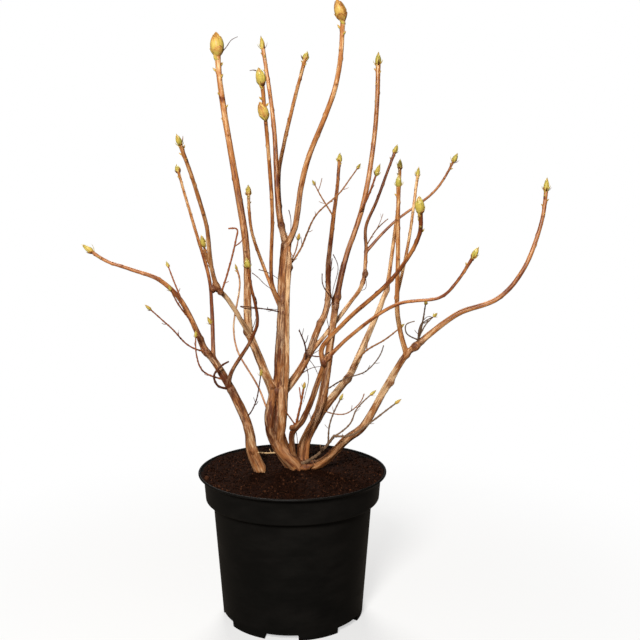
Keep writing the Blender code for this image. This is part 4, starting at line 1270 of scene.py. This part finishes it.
def build_spray(spray, shape, paths, buds):
    """A spray in its own plain colour, with finer twigs than the source's."""
    paint = TWIG_TINTS.index(SPRAY_TINTS.get(spray.name, "twig_brown"))
    for k, twig in enumerate(list(spray.twigs) + seeded_twiglets(spray, paths)):
        points = smooth_path(twig.way, FINE_STEP)
        radii = taper(points, twig.foot, twig.tip)
        seed = spray.seed * 10 + k
        strand = twig_strand(spray.name, spray.grows_from, points, radii, seed)
        if spray.name in STOUT_SPRAYS:
            strand.radii *= STOUTNESS
        add_twig(shape, strand, TWIG_SIDES, seed, paint)
        if twig.bud:
            buds.tip(points, twig.bud, seed)
        finest = finer_twiglets(strand, paths, seed)
        if spray.name in NEAT_SPRAYS:
            finest = finest[:1] if k == 0 else []
        for j, way in enumerate(finest):
            points = smooth_path(way, FINE_STEP)
            radii = taper(points, *(twig.tip * share for share in FINEST_TAPER))
            fine = twig_strand("fine", spray.name, points, radii, seed + j)
            add_twig(shape, fine, FINEST_SIDES, seed + j, paint)


def build_twigs(paths, materials, buds):
    """The sprays as two joined pieces: those that start left of the pot's axis, and the others."""
    groups = {"fine_twigs_left": Shape(), "fine_twigs_right": Shape()}
    members = {name: [] for name in groups}
    for spray in SPRAYS:
        side = "fine_twigs_left" if spray.twigs[0].way[0][0] < 0 else "fine_twigs_right"
        members[side].append(spray.name)
        build_spray(spray, groups[side], paths, buds)
    for name, shape in groups.items():
        finish_piece(name, shape, materials, members[name])


def build_threads(materials):
    shape = Shape()
    for seed, way in enumerate(THREADS, THREAD_SEED):
        points = smooth_path(way, FINE_STEP)
        strand = twig_strand("thread", None, points, taper(points, *THREAD_WIDTHS), seed)
        add_twig(shape, strand, FINEST_SIDES, seed, TWIG_TINTS.index("twig_dark"))
    finish_piece("dead_threads", shape, materials)


# ---- Buds ----


def for_width(table, width):
    """The table's row for a bud of this width, without the width that the row starts from."""
    return next(row for least, *row in table if width > least)


class Buds:
    """The buds at the tips and the nodes, each a core that overlapping scales wrap."""

    def __init__(self):
        self.shape = Shape()

    def tip(self, points, bud, seed, lean=(0, 0, 0)):
        """The bud at a shoot's tip, and the smaller ones that crowd under it."""
        direction = ((points[-1] - points[-2]).normalized() + Vector(lean)).normalized()
        self.bud(points[-1], direction, bud, seed)
        across = direction.orthogonal().normalized()
        for k in range(bud.sides):
            outwards = (across * math.cos(math.pi * k) + direction * 1.3).normalized()
            small = Bud(bud.length * 0.4, bud.width * 0.34, 0)
            base = points[-1] - direction * bud.width * (0.1 + 0.35 * k)
            self.bud(base, outwards, small, seed + 7 * k + 3)

    def side(self, strand, along, turn, length, seed):
        """A small pointed bud at a shoot's node."""
        i = min(int(np.searchsorted(strand.lengths, along)), len(strand.points) - 1)
        out = strand.across[i] * math.cos(turn) + strand.aside[i] * math.sin(turn)
        base = Vector(strand.points[i] + out * strand.radii[i] * 0.85)
        direction = Vector(strand.tangents[i] * 0.85 + out * 0.75).normalized()
        self.bud(base, direction, Bud(length, length * 0.42, 0), seed)

    def bud(self, base, direction, bud, seed):
        """An egg of scales on a spiral, from its foot to its tip, then bracts round its foot."""
        rng = random.Random(seed)
        axis = np.array(direction)
        across = np.array(direction.orthogonal().normalized())
        frame = (np.array(base), across, np.cross(axis, across), axis)
        self.core(frame, bud)
        count = max(FEWEST_SCALES, min(MOST_SCALES, round(SCALES_PER_MM * bud.width)))
        turn = rng.random() * math.tau
        for j in range(count):
            self.scale(frame, bud, j / (count - 1), turn, rng)
            turn += GOLDEN_TURN * some(rng, 0.96, 0.08)
        for _ in range(for_width(BRACTS, bud.width)[0]):
            self.bract(frame, bud, turn, rng)
            turn += GOLDEN_TURN

    def place(self, frame, bud, share, turns, lift):
        """Places round the bud at a share of its height, lift mm off its skin."""
        base, across, aside, axis = frame
        share = np.asarray(share, float)
        inside = np.clip(share, 0.001, 0.999)
        form = FAT_FORM if bud.width > FAT else SLIM_FORM
        radius = bud.width / 2 * np.sin(math.pi * inside**form.belly) ** form.fullness
        height = (share * (1 + BUD_FOOT) - BUD_FOOT) * bud.length
        out = across * np.cos(turns)[..., None] + aside * np.sin(turns)[..., None]
        level = np.ones_like(turns)
        return base + axis * (height * level)[..., None] + out * ((radius + lift) * level)[..., None]

    def core(self, frame, bud):
        """The plain egg that shows between the scales."""
        rings, sides = for_width(BUD_GRIDS, bud.width)[2:]
        turns = turns_round(sides)
        lift = -0.03 * bud.width
        rings = [self.place(frame, bud, share, turns, lift) for share in np.linspace(0.02, 0.97, rings)]
        ends = [self.place(frame, bud, share, np.zeros(1), 0)[0] for share in (0, 1)]
        self.shape.add(*tube_faces(np.array(rings), *ends), CORE_SHADE)

    def scale(self, frame, bud, level, turn, rng):
        """One scale of the bud, which hugs it; the outer ones are short and brown at the foot."""
        if level < SHORT:
            span = 0.0, some(rng, 0.28 + 0.5 * level, 0.08)
            half = 52
        else:
            span = 0.02 + 0.22 * level, 0.7 + 0.31 * level
            half = 56 - 20 * level
        half = math.radians(half) * some(rng, 0.9, 0.2)
        lift = bud.width * (0.05 * (1 - level) + 0.012)
        free = bud.width * some(rng, 0.02, 0.06) * (1.1 - level)
        lightest, darkest = COATS[bud.coat]
        shade = rng.uniform(lightest, darkest)
        if level < BASAL:
            shade = BASAL_SHADE if bud.width < PLUMP else darkest - PLUMP_BASAL_STEP
        vein = rng.uniform(-0.3, 1.4)
        points, faces, edge = self.blade(frame, bud, span, turn, half, lift, free)
        paint = self.worn(bud, shade, vein, rng)
        edge_paint = np.full(len(edge), np.clip(round(shade + 1.5), 0, len(BUD_TINTS) - 1))
        quads = np.concatenate([faces, faces[:, ::-1] + len(points) // 2, edge])
        self.shape.add(points, quads, (), np.concatenate([paint, paint, edge_paint]))

    def blade(self, frame, bud, span, turn, half, lift, free):
        """The places, outer faces and edge of a thin curved blade over a span of the bud's height."""
        rows, columns = for_width(BUD_GRIDS, bud.width)[:2]
        down = np.linspace(0, 1, rows)[:, None]
        side = np.linspace(-1, 1, columns)[None]
        turns = turn + side * (half * (1 - down**2.4) ** 0.75 + 0.02)
        share = span[0] + (span[1] - span[0]) * down + 0 * side
        lifts = lift + free * down**2.5 - 0.03 * bud.width * np.abs(side) ** 3
        lifts = lifts - 0.04 * bud.width * (1 - down) ** 3 + 0.014 * bud.width * (1 - np.abs(side)) ** 2
        thick = max(0.12, 0.022 * bud.width)
        skins = [self.place(frame, bud, share, turns, lifts - depth) for depth in (0, thick)]
        points = np.concatenate([skin.reshape(-1, 3) for skin in skins])
        count = rows * columns
        cells = np.arange(count).reshape(rows, columns)
        corners = (cells[:-1, :-1], cells[:-1, 1:], cells[1:, 1:], cells[1:, :-1])
        rim = np.concatenate([cells[0], cells[1:, -1], cells[-1, -2::-1], cells[-2:0:-1, 0]])
        after = np.roll(rim, -1)
        edge = np.stack([after, rim, rim + count, after + count], -1)
        return points, np.stack(corners, -1).reshape(-1, 4), edge

    def worn(self, bud, shade, vein, rng):
        """The shade of each face of a scale: darker to its foot, its edges and a plump bud's tip."""
        rows, columns = for_width(BUD_GRIDS, bud.width)[:2]
        row, column = np.divmod(np.arange((rows - 1) * (columns - 1)), columns - 1)
        up = (row + 0.5) / (rows - 1)
        off = np.abs((column + 0.5) / (columns - 1) * 2 - 1)
        worn = 2.2 * bell(up, 0.22) + 1.2 * smoothstep(0.55, 1, off)
        worn += (1.7 if bud.width > PLUMP else -2.4) * smoothstep(0.6, 1, up)
        worn += vein * bell(off, 0.22) * smoothstep(0.1, 0.3, up)
        worn += 0.2 * np.array([rng.uniform(-1, 1) for _ in row])
        value = shade + worn * min(1, 0.15 + bud.width / 8)
        return np.clip(np.round(value), 0, len(BUD_TINTS) - 2)

    def bract(self, frame, bud, turn, rng):
        """A narrow pointed bract at the bud's foot, which bends out and up."""
        base, across, aside, axis = frame
        out = across * math.cos(turn) + aside * math.sin(turn)
        form = FAT_FORM if bud.width > FAT else SLIM_FORM
        length = bud.length * some(rng, form.bract, 0.24)
        spread = some(rng, 0.5, form.spread)
        thick = form.thickness * bud.width
        foot = base + axis * bud.length * (BUD_FOOT * rng.random() - BUD_FOOT) + out * bud.width * 0.16
        shares = np.linspace(0, 1, BRACT_ROWS)[:, None]
        line = foot + axis * shares * length + out * spread * length * shares * (1.25 - 0.5 * shares)
        radii = thick * (0.55 + 1.1 * shares[:, 0] - 1.6 * shares[:, 0] ** 2)
        turns = turns_round(BRACT_SIDES)
        ring = np.cross(axis, out) * np.cos(turns)[:, None] + out * 0.5 * np.sin(turns)[:, None]
        rings = line[:, None] + ring[None] * radii[:, None, None]
        points, quads, tris = tube_faces(rings, line[0], line[-1] + axis * 0.1 * thick)
        shade = rng.choice(BRACT_SHADES)
        steps = np.arange(len(quads)) // BRACT_SIDES
        paint = np.clip(np.round(shade + 3.5 * bell(steps, 1.6)), 0, len(BUD_TINTS) - 1)
        self.shape.add(points, quads, (), paint)
        self.shape.add(points, (), tris, shade)


def build_buds(limbs, buds, materials):
    """The buds at the tips of the limbs and on their sides; the sprays have theirs already."""
    side_buds = Buds()
    for number, (limb, strand) in enumerate(zip(LIMBS, limbs)):
        if not limb.bud:
            continue
        sized = Bud(*BUD_SIZES[limb.name], limb.bud.sides, BUD_COATS.get(limb.name, "green"))
        lean = BUD_LEANS.get(limb.name, (0, 0, 0))
        buds.tip([Vector(point) for point in strand.points], sized, TIP_SEED + 11 * number, lean)
        for k, (along, turn) in enumerate(strand.nodes[:SIDE_BUDS[limb.bud]]):
            length = (2.2 + 0.28 * limb.bud.width) * (1 - 0.06 * k)
            side_buds.side(strand, along, turn, length, SIDE_SEED + 13 * number + k)
    for seed, (place, direction, bud) in enumerate(LONE_BUDS, LONE_SEED):
        limb, i = nearest_limb(limbs, np.array(place, float))
        out = unit(np.array(place) - limb.points[i])
        base = limb.points[i] + out * limb.radii[i] * 0.8
        buds.bud(Vector(base), Vector(direction).normalized(), bud, seed)
    finish_piece("tip_buds", buds.shape, materials)
    finish_piece("side_buds", side_buds.shape, materials)


# ---- The pot ----


def wall_inside(height):
    """The inner radius of the tapering wall at a height."""
    share = height / COLLAR_FOOT
    return WALL_FOOT_RADIUS + (WALL_TOP_RADIUS - WALL_FOOT_RADIUS) * share - WALL_THICKNESS


def arc(radius, height, bend, start, end, steps=5):
    """Places on a rounded edge of the pot's section, about (radius, height)."""
    turns = [math.radians(start + (end - start) * k / steps) for k in range(steps + 1)]
    return [(radius + bend * math.cos(turn), height + bend * math.sin(turn)) for turn in turns]


def between(start, end, steps):
    """Places along a straight stretch of the pot's section, without its ends."""
    return [tuple(a + (b - a) * k / steps for a, b in zip(start, end)) for k in range(1, steps)]


def pot_profile():
    """The shell's section, up the inside, over the lip and down the outside."""
    half = LIP_DEPTH / 2
    inside = [
        (wall_inside(FLOOR_THICKNESS) - 1.5, FLOOR_THICKNESS),
        (wall_inside(FLOOR_THICKNESS), FLOOR_THICKNESS + 1.5),
        (wall_inside(STEP_FOOT), STEP_FOOT),
        (COLLAR_INSIDE, STEP_TOP),
        (COLLAR_INSIDE + 1, LIP_FOOT - 0.5),
        (COLLAR_INSIDE + 1.6, LIP_FOOT + 0.6),
        (PEAT_RADIUS - 1, POT_HEIGHT - 2.4),
        (PEAT_RADIUS, POT_HEIGHT - 1.6),
    ]
    lip = arc(LIP_RADIUS - half, POT_HEIGHT - half, half, 120, -75, 12)
    collar_top = (COLLAR_TOP_RADIUS, LIP_FOOT - 2.5)
    under = [(COLLAR_TOP_RADIUS + out, LIP_FOOT + up) for out, up in ((2.4, 1.6), (1, 0.6), (0.3, -0.6))]
    collar = between(collar_top, (COLLAR_FOOT_RADIUS, COLLAR_FOOT + COLLAR_EDGE), COLLAR_STEPS)
    edge = arc(COLLAR_FOOT_RADIUS - COLLAR_EDGE, COLLAR_FOOT + COLLAR_EDGE, COLLAR_EDGE, 0, -90)
    inner_corner = arc(WALL_TOP_RADIUS + 1, COLLAR_FOOT - 1, 1, 90, 180)
    wall = between((WALL_TOP_RADIUS, COLLAR_FOOT), (WALL_FOOT_RADIUS, 0), WALL_STEPS)
    foot = arc(WALL_FOOT_RADIUS - FOOT_EDGE, FOOT_EDGE, FOOT_EDGE, 0, -90, 3)
    base = [(WALL_FOOT_RADIUS - 5, 0), (WALL_FOOT_RADIUS - 12, 0), (NOTCH_INNER_RADIUS - 6, 0), (20, 0)]
    return inside + lip + under + [collar_top] + collar + edge + inner_corner + wall + foot + base


def foot_cutters():
    """Six slots in the rim of the foot, each with a drain hole at its inner end."""
    cutters = []
    slot_length = LIP_RADIUS - NOTCH_INNER_RADIUS
    for i in range(NOTCHES):
        turn = math.radians(NOTCH_TURN + i * 360 / NOTCHES)
        outwards = Vector((math.sin(turn), -math.cos(turn), 0))
        bpy.ops.mesh.primitive_cube_add(size=1)
        slot = bpy.context.object
        size = (NOTCH_WIDTH * MM, slot_length * MM, 2 * NOTCH_HEIGHT * MM)
        slot.data.transform(Matrix.Diagonal((*size, 1)))
        slot.rotation_euler.z = turn
        slot.location = outwards * (NOTCH_INNER_RADIUS + slot_length / 2) * MM
        rounding = slot.modifiers.new("Bevel", "BEVEL")
        rounding.width = NOTCH_ROUNDING * MM
        rounding.segments = 3
        through = 4 * FLOOR_THICKNESS * MM
        bpy.ops.mesh.primitive_cylinder_add(vertices=32, radius=DRAIN_RADIUS * MM, depth=through)
        drain = bpy.context.object
        drain.location = outwards * DRAIN_PLACE * MM
        cutters += [slot, drain]
    return cutters


def build_pot(material):
    turns = turns_round(POT_STEPS)
    rings = np.array([circle(radius, height, turns) for radius, height in pot_profile()])
    points, quads, tris = tube_faces(rings, (0, 0, FLOOR_THICKNESS), (0, 0, 0))
    shape = Shape()
    shape.add(points, quads[:, ::-1], tris[:, ::-1])
    obj = placed("pot_blank", shape.mesh("pot_blank"))
    group = bpy.data.collections.new("pot_cutters")
    bpy.context.scene.collection.children.link(group)
    cutters = foot_cutters()
    for cutter in cutters:
        group.objects.link(cutter)
    cut = obj.modifiers.new("Cut", "BOOLEAN")
    cut.operand_type = "COLLECTION"
    cut.collection = group
    cut.solver = "EXACT"
    bpy.context.view_layer.update()
    mesh = modified_mesh(obj)
    for old in cutters + [obj]:
        bpy.data.objects.remove(old)
    bpy.data.collections.remove(group)
    mesh.name = "nursery_pot"
    mesh.materials.clear()
    mesh.shade_smooth()
    mesh.set_sharp_from_angle(angle=SHARP_ANGLE)
    finish_piece("nursery_pot", mesh, [material], ["pot"])


# ---- The peat ----


def soil_height(across, deep):
    """The height of the peat's crumbly surface at places (x, y) in mm."""
    share = np.hypot(across, deep) / PEAT_RADIUS
    height = PEAT_MIDDLE + (PEAT_EDGE - PEAT_MIDDLE) * share**3
    for scale, amount in PEAT_LUMPS:
        level = np.full_like(across, scale * 1.7)
        height = height + amount * noise(np.stack([across / scale, deep / scale, level], 1))
    heap = np.zeros_like(height)
    for x, y, heaped in STEM_FEET:
        heap = np.maximum(heap, heaped * bell(np.hypot(across - x, deep - y), HEAP_REACH))
    return height + heap


def build_soil(material):
    """The bed of peat, down to the pot's floor."""
    floor = FLOOR_THICKNESS + SOIL_GAP
    turns = turns_round(SOIL_STEPS)
    sides = (
        (wall_inside(floor) - 0.3, floor), (wall_inside(STEP_FOOT) - 0.3, STEP_FOOT),
        (COLLAR_INSIDE - SOIL_GAP, STEP_TOP), (COLLAR_INSIDE + 0.8, LIP_FOOT - 0.5),
    )
    rings = [circle(radius, height, turns) for radius, height in sides]
    for k in range(SOIL_RINGS):
        radius = (PEAT_RADIUS - SOIL_GAP) * (1 - k / SOIL_RINGS) ** 0.9
        rings.append(circle(radius, soil_height(radius * np.cos(turns), radius * np.sin(turns)), turns))
    middle = float(soil_height(np.zeros(1), np.zeros(1))[0])
    shape = Shape()
    shape.add(*tube_faces(np.array(rings), (0, 0, floor), (0, 0, middle)))
    finish_piece("peat_bed", shape, [material], ["soil"])


def crumb_blank():
    """An icosahedron of radius 1, as the form that every crumb is bent from."""
    blank = bmesh.new()
    bmesh.ops.create_icosphere(blank, subdivisions=1, radius=1)
    points = np.array([vertex.co[:] for vertex in blank.verts])
    tris = np.array([[vertex.index for vertex in face.verts] for face in blank.faces])
    blank.free()
    return points, tris


def build_crumbs(rng, materials):
    """Loose crumbs on the bed, all sizes."""
    blank, tris = crumb_blank()
    shape = Shape()
    radius = (PEAT_RADIUS - CRUMB_MARGIN) * np.sqrt(rng.random(CRUMBS))
    turn = rng.random(CRUMBS) * math.tau
    across, deep = radius * np.cos(turn), radius * np.sin(turn)
    sizes = np.exp(rng.normal(*CRUMB_SIZES, CRUMBS))
    height = soil_height(across, deep) + CRUMB_RISE * sizes
    paints = rng.choice(len(CRUMB_SHARES), CRUMBS, p=CRUMB_SHARES)
    for k in range(CRUMBS):
        bent = blank * rng.uniform(*CRUMB_STRETCH, (1, 3))
        bent = bent * rng.uniform(*CRUMB_ROUGHNESS, (len(blank), 1)) * sizes[k]
        turned = np.linalg.qr(rng.normal(size=(3, 3)))[0]
        if np.linalg.det(turned) < 0:
            turned[:, 0] *= -1
        shape.add(bent @ turned.T + (across[k], deep[k], height[k]), (), tris, paints[k])
    finish_piece("peat_crumbs", shape, materials)


def build_fibres(rng, materials):
    """Bent fibres that lie on the bed."""
    shape = Shape()
    for k in range(FIBRES):
        place = (COLLAR_INSIDE - FIBRE_MARGIN) * math.sqrt(rng.random())
        turn, heading = rng.random(2) * math.tau
        middle = np.array([place * math.cos(turn), place * math.sin(turn)])
        half = rng.uniform(*FIBRE_HALVES) * np.array([math.cos(heading), math.sin(heading)])
        bow = rng.uniform(*FIBRE_BOWS) * np.array([-math.sin(heading), math.cos(heading)])
        bends = middle - half * 0.3 + bow, middle + half * 0.4 + bow
        x, y = np.transpose([middle - half, *bends, middle + half])
        tops = soil_height(x, y) + rng.uniform(*FIBRE_LIFTS, 4)
        points = smooth_path(np.stack([x, y, tops], 1), FINE_STEP)
        thick = rng.uniform(*FIBRE_WIDTHS)
        strand = Strand("fibre", None, points, taper(points, thick, thick * 0.6))
        add_twig(shape, strand, FIBRE_SIDES, k, int(rng.choice(len(FIBRE_SHARES), p=FIBRE_SHARES)))
    finish_piece("peat_fibres", shape, materials)


# ---- Materials ----


class Finish:
    """A material's node tree, with short calls for the nodes that the finishes share."""

    def __init__(self, name, roughness, specular):
        self.material = bpy.data.materials.new(name)
        self.material.use_nodes = True
        self.tree = self.material.node_tree
        self.shader = self.tree.nodes["Principled BSDF"]
        self.shader.inputs["Roughness"].default_value = roughness
        self.shader.inputs["Specular IOR Level"].default_value = specular

    def feed(self, socket, item):
        """Links an output to a socket, or sets the socket to a number or a colour."""
        if isinstance(item, bpy.types.NodeSocket):
            self.tree.links.new(item, socket)
        else:
            socket.default_value = (*item, 1) if isinstance(item, tuple) else item

    def drive(self, name, item):
        """Feeds an input of the shader."""
        self.feed(self.shader.inputs[name], item)

    def node(self, kind, settings=(), **inputs):
        """A new node with its settings, and what feeds its inputs."""
        node = self.tree.nodes.new(f"ShaderNode{kind}")
        for name, value in dict(settings).items():
            setattr(node, name, value)
        for name, item in inputs.items():
            self.feed(node.inputs[name.replace("_", " ")], item)
        return node

    def named(self, attribute, kind="Fac"):
        return self.node("Attribute", {"attribute_name": attribute}).outputs[kind]

    def noise(self, vector, stretch, detail=4, rough=0.6):
        scaled = self.node("Mapping", Vector=vector)
        scaled.inputs["Scale"].default_value = stretch
        vector = scaled.outputs["Vector"]
        return self.node("TexNoise", Vector=vector, Scale=1, Detail=detail, Roughness=rough).outputs["Fac"]

    def position(self):
        return self.node("NewGeometry").outputs["Position"]

    def spread(self, value, low, high, start=0.0, end=1.0):
        settings = {"interpolation_type": "SMOOTHSTEP"}
        limits = {"From_Min": low, "From_Max": high, "To_Min": start, "To_Max": end}
        return self.node("MapRange", settings, Value=value, **limits).outputs["Result"]

    def maths(self, operation, value, other):
        node = self.node("Math", {"operation": operation})
        self.feed(node.inputs[0], value)
        self.feed(node.inputs[1], other)
        return node.outputs[0]

    def plus(self, value, other):
        return self.maths("ADD", value, other)

    def times(self, value, other):
        return self.maths("MULTIPLY", value, other)

    def mixed(self, share, colour, other):
        node = self.node("Mix", {"data_type": "RGBA"})
        for place, item in ((0, share), (6, colour), (7, other)):
            self.feed(node.inputs[place], item)
        return node.outputs[2]

    def toned(self, pale, dark, colours):
        """A bark's middle colour, with its pale and its dark one where the tone says."""
        middle, palest, darkest = colours
        return self.mixed(dark, self.mixed(pale, middle, palest), darkest)

    def bump(self, height, distance, strength):
        bump = self.node("Bump", Height=height, Distance=distance * MM, Strength=strength)
        self.drive("Normal", bump.outputs["Normal"])


def bark_finish(name):
    """Bark that goes from smooth orange-brown shoots to flaking tan-brown stems with age."""
    finish = Finish(name, 0.6, 0.12)
    flow = finish.named("flow", "Vector")
    age = finish.named("age")
    streaks = finish.noise(flow, (1.2, 1.2, 0.09))
    mottle = finish.noise(flow, (0.26, 0.26, 0.06), 3)
    grain = finish.noise(flow, (4.5, 4.5, 0.9), 3, 0.7)
    tone = finish.plus(finish.named("tone"), finish.spread(mottle, 0.36, 0.64, -0.5, 0.5))
    ripple = finish.times(finish.spread(streaks, 0.36, 0.64, -0.5, 0.5), finish.named("calm"))
    tone = finish.plus(tone, ripple)
    pale = finish.spread(tone, 0.05, 1.1)
    dark = finish.spread(tone, -1.1, -0.1, 1, 0)
    young, old = (finish.toned(pale, dark, colours) for colours in (YOUNG_BARK, OLD_BARK))
    colour = finish.mixed(finish.spread(age, 0.2, 0.75), young, old)
    ridge = finish.times(finish.named("strip"), finish.spread(streaks, 0.35, 0.6))
    colour = finish.mixed(finish.times(ridge, 0.5), colour, STRIP_PALE)
    # Painted shade in the creases and folds, then the dark leaf scars.
    for mark, share, shade in MARKS:
        colour = finish.mixed(finish.times(finish.named(mark), share), colour, shade)
    finish.drive("Base Color", finish.mixed(finish.spread(grain, 0.4, 0.7, 0, 0.22), colour, GRAIN_DARK))
    finish.drive("Roughness", finish.spread(age, 0, 1, 0.38, 0.6))
    finish.drive("Specular IOR Level", finish.spread(age, 0, 1, 0.42, 0.25))
    rough = finish.times(grain, finish.spread(age, 0.1, 0.8, 0.12, 0.5))
    finish.bump(finish.plus(streaks, rough), 0.2, finish.spread(age, 0.1, 0.8, 0.05, 0.6))
    return finish.material


def plain_finish(name, colour, roughness, specular, size, depth, variation=0.3):
    """One colour with a fine grain, size mm across and depth mm deep."""
    finish = Finish(name, roughness, specular)
    finish.drive("Base Color", colour)
    grain = finish.noise(finish.position(), (1 / (size * MM),) * 3, 3, 0.65)
    finish.drive("Roughness", finish.spread(grain, 0.3, 0.7, roughness - 0.1, roughness + 0.12))
    shade = tuple(channel * (1 - variation) for channel in colour)
    light = tuple(min(1, channel * (1 + variation * 0.7)) for channel in colour)
    finish.drive("Base Color", finish.mixed(finish.spread(grain, 0.3, 0.7), shade, light))
    finish.bump(grain, depth, 0.6)
    return finish.material


def plain_finishes(colours, *qualities):
    return [plain_finish(name, colour, *qualities) for name, colour in colours.items()]


def pot_finish():
    """Injection-moulded black plastic, satin, with a faint bloom of dust."""
    finish = Finish("black_plastic", 0.42, 0.08)
    place = finish.position()
    bloom = finish.noise(place, (22, 22, 60), 4)
    finish.drive("Base Color", finish.mixed(finish.spread(bloom, 0.35, 0.75), POT_BLACK, POT_DUSTY))
    finish.drive("Roughness", finish.spread(bloom, 0.3, 0.7, 0.36, 0.5))
    finish.bump(finish.noise(place, (1500,) * 3, 2), 0.03, 0.4)
    return finish.material


def peat_finish():
    """Moist peat: dark red-brown, with painted shade in its hollows and a few pale specks."""
    finish = Finish("moist_peat", 0.9, 0.04)
    place = finish.position()
    clumps = finish.noise(place, (160,) * 3, 4)
    grain = finish.noise(place, (900,) * 3, 4, 0.7)
    colour = finish.mixed(finish.spread(clumps, 0.35, 0.65), PEAT_DARK, PEAT_BROWN)
    colour = finish.mixed(finish.spread(grain, 0.45, 0.75, 0, 0.7), colour, PEAT_RED)
    # Painted shade: near black where the grain, which is also the bump, lies low.
    finish.drive("Base Color", finish.mixed(finish.spread(grain, 0.3, 0.45, 0.75, 0), colour, PEAT_HOLLOW_SHADE))
    finish.bump(grain, 0.5, 0.8)
    return finish.material


# ---- The stage ----


def camera_ray(tree):
    return tree.nodes.new("ShaderNodeLightPath").outputs["Is Camera Ray"]


def show_mixed(tree, output, share, shader, other):
    """Shows a share of the other shader over the first, on a floor or a world."""
    blend = tree.nodes.new("ShaderNodeMixShader")
    for place, source in enumerate((share, shader, other)):
        tree.links.new(source, blend.inputs[place])
    tree.links.new(blend.outputs[0], tree.nodes[output].inputs["Surface"])


def build_floor():
    """A pale floor that melts into the white background."""
    shape = Shape()
    turns = turns_round(FLOOR_STEPS)
    rings = np.array([circle(radius, 0, turns) for radius in FLOOR_RADII])
    points, quads, tris = tube_faces(rings, (0, 0, 0), (0, 0, 0))
    shape.add(points, quads, tris[len(turns):])
    mesh = shape.mesh("floor")
    obj = placed("floor", mesh)
    finish = Finish("pale_floor", 0.8, 0.1)
    seen = camera_ray(finish.tree)
    finish.drive("Base Color", finish.mixed(seen, FLOOR_UNSEEN, FLOOR_SEEN))
    glow = finish.node("Emission", Color=WHITE)
    apart = finish.node("VectorMath", {"operation": "LENGTH"})
    finish.feed(apart.inputs[0], finish.position())
    far = finish.spread(apart.outputs["Value"], *FLOOR_GLOW)
    shown = finish.times(far, seen)
    show_mixed(finish.tree, "Material Output", shown, finish.shader.outputs[0], glow.outputs[0])
    mesh.materials.append(finish.material)


def build_world():
    """White where the camera sees it, and a soft even light on the plant."""
    world = bpy.data.worlds.new("studio")
    world.use_nodes = True
    bpy.context.scene.world = world
    tree = world.node_tree
    sky = tree.nodes["Background"]
    sky.inputs["Color"].default_value = (*SKY_COLOUR, 1)
    sky.inputs["Strength"].default_value = SKY_LIGHT
    backdrop = tree.nodes.new("ShaderNodeBackground")
    backdrop.inputs["Color"].default_value = (*WHITE, 1)
    show_mixed(tree, "World Output", camera_ray(tree), sky.outputs[0], backdrop.outputs[0])


def build_lights():
    for name, (place, size, power, colour) in LIGHTS.items():
        lamp = bpy.data.lights.new(name, "AREA")
        lamp.shape = "DISK"
        lamp.size = size * MM
        lamp.energy = power
        lamp.color = colour
        obj = placed(name, lamp)
        obj.location = Vector(place) * MM
        obj.rotation_euler = (Vector(place) - Vector(AIM)).to_track_quat("Z", "Y").to_euler()


def build_camera():
    camera = bpy.data.cameras.new("camera")
    camera.sensor_width = SENSOR
    camera.lens = LENS
    camera.clip_start = 0.05
    obj = placed("camera", camera)
    obj.location = Vector(CAMERA_PLACE) * MM
    obj.rotation_euler = (math.radians(90) - CAMERA_DIP, 0, 0)
    bpy.context.scene.camera = obj


# ---- The whole ----


def source_paths():
    """The axis and radii of each limb, as the source's twigs keep clear of them."""
    paths = []
    for limb in LIMBS:
        points = smooth_path(limb.way)
        if grounded(limb):
            outwards = (points[0] - points[1]).normalized()
            points = [points[0] + outwards * ROOT_LENGTH] + points
        paths.append((points, taper(points, limb.foot, limb.tip, grounded(limb), limb.swell)))
    return paths


def build_plant():
    """The bark of every limb, the twigs, the threads and the buds."""
    limbs = [limb_strand(limb, index) for index, limb in enumerate(LIMBS)]
    knots = [knot_strand(index, *knot, limbs) for index, knot in enumerate(KNOTS)]
    surface = Surface(limbs + [lobe_strand(lobe) for lobe in LOBES] + knots)
    finishes = {slot: bark_finish(f"{slot}_finish") for slot in ("stem_bark", "shoot_bark")}
    for name, slot, cell, members in BARK_PIECES:
        bark_piece(name, cell, members, surface, finishes[slot])
    buds = Buds()
    twig_finishes = plain_finishes(TWIG_COLOURS, 0.65, 0.12, 0.7, 0.15)
    build_twigs(source_paths(), twig_finishes, buds)
    build_threads(twig_finishes)
    build_buds(limbs, buds, plain_finishes(BUD_COLOURS, 0.45, 0.35, 0.5, 0.08, 0.18))


def build_container():
    """The pot, its peat and what lies on the peat."""
    build_pot(pot_finish())
    build_soil(peat_finish())
    rng = np.random.default_rng(PEAT_SEED)
    crumb_finishes = plain_finishes(CRUMB_COLOURS, 0.85, 0.04, 0.4, 0.2)
    build_crumbs(rng, crumb_finishes)
    build_fibres(rng, crumb_finishes)


build_camera()
build_world()
build_lights()
build_floor()
bpy.context.scene.view_settings.view_transform = "Standard"
build_plant()
build_container()
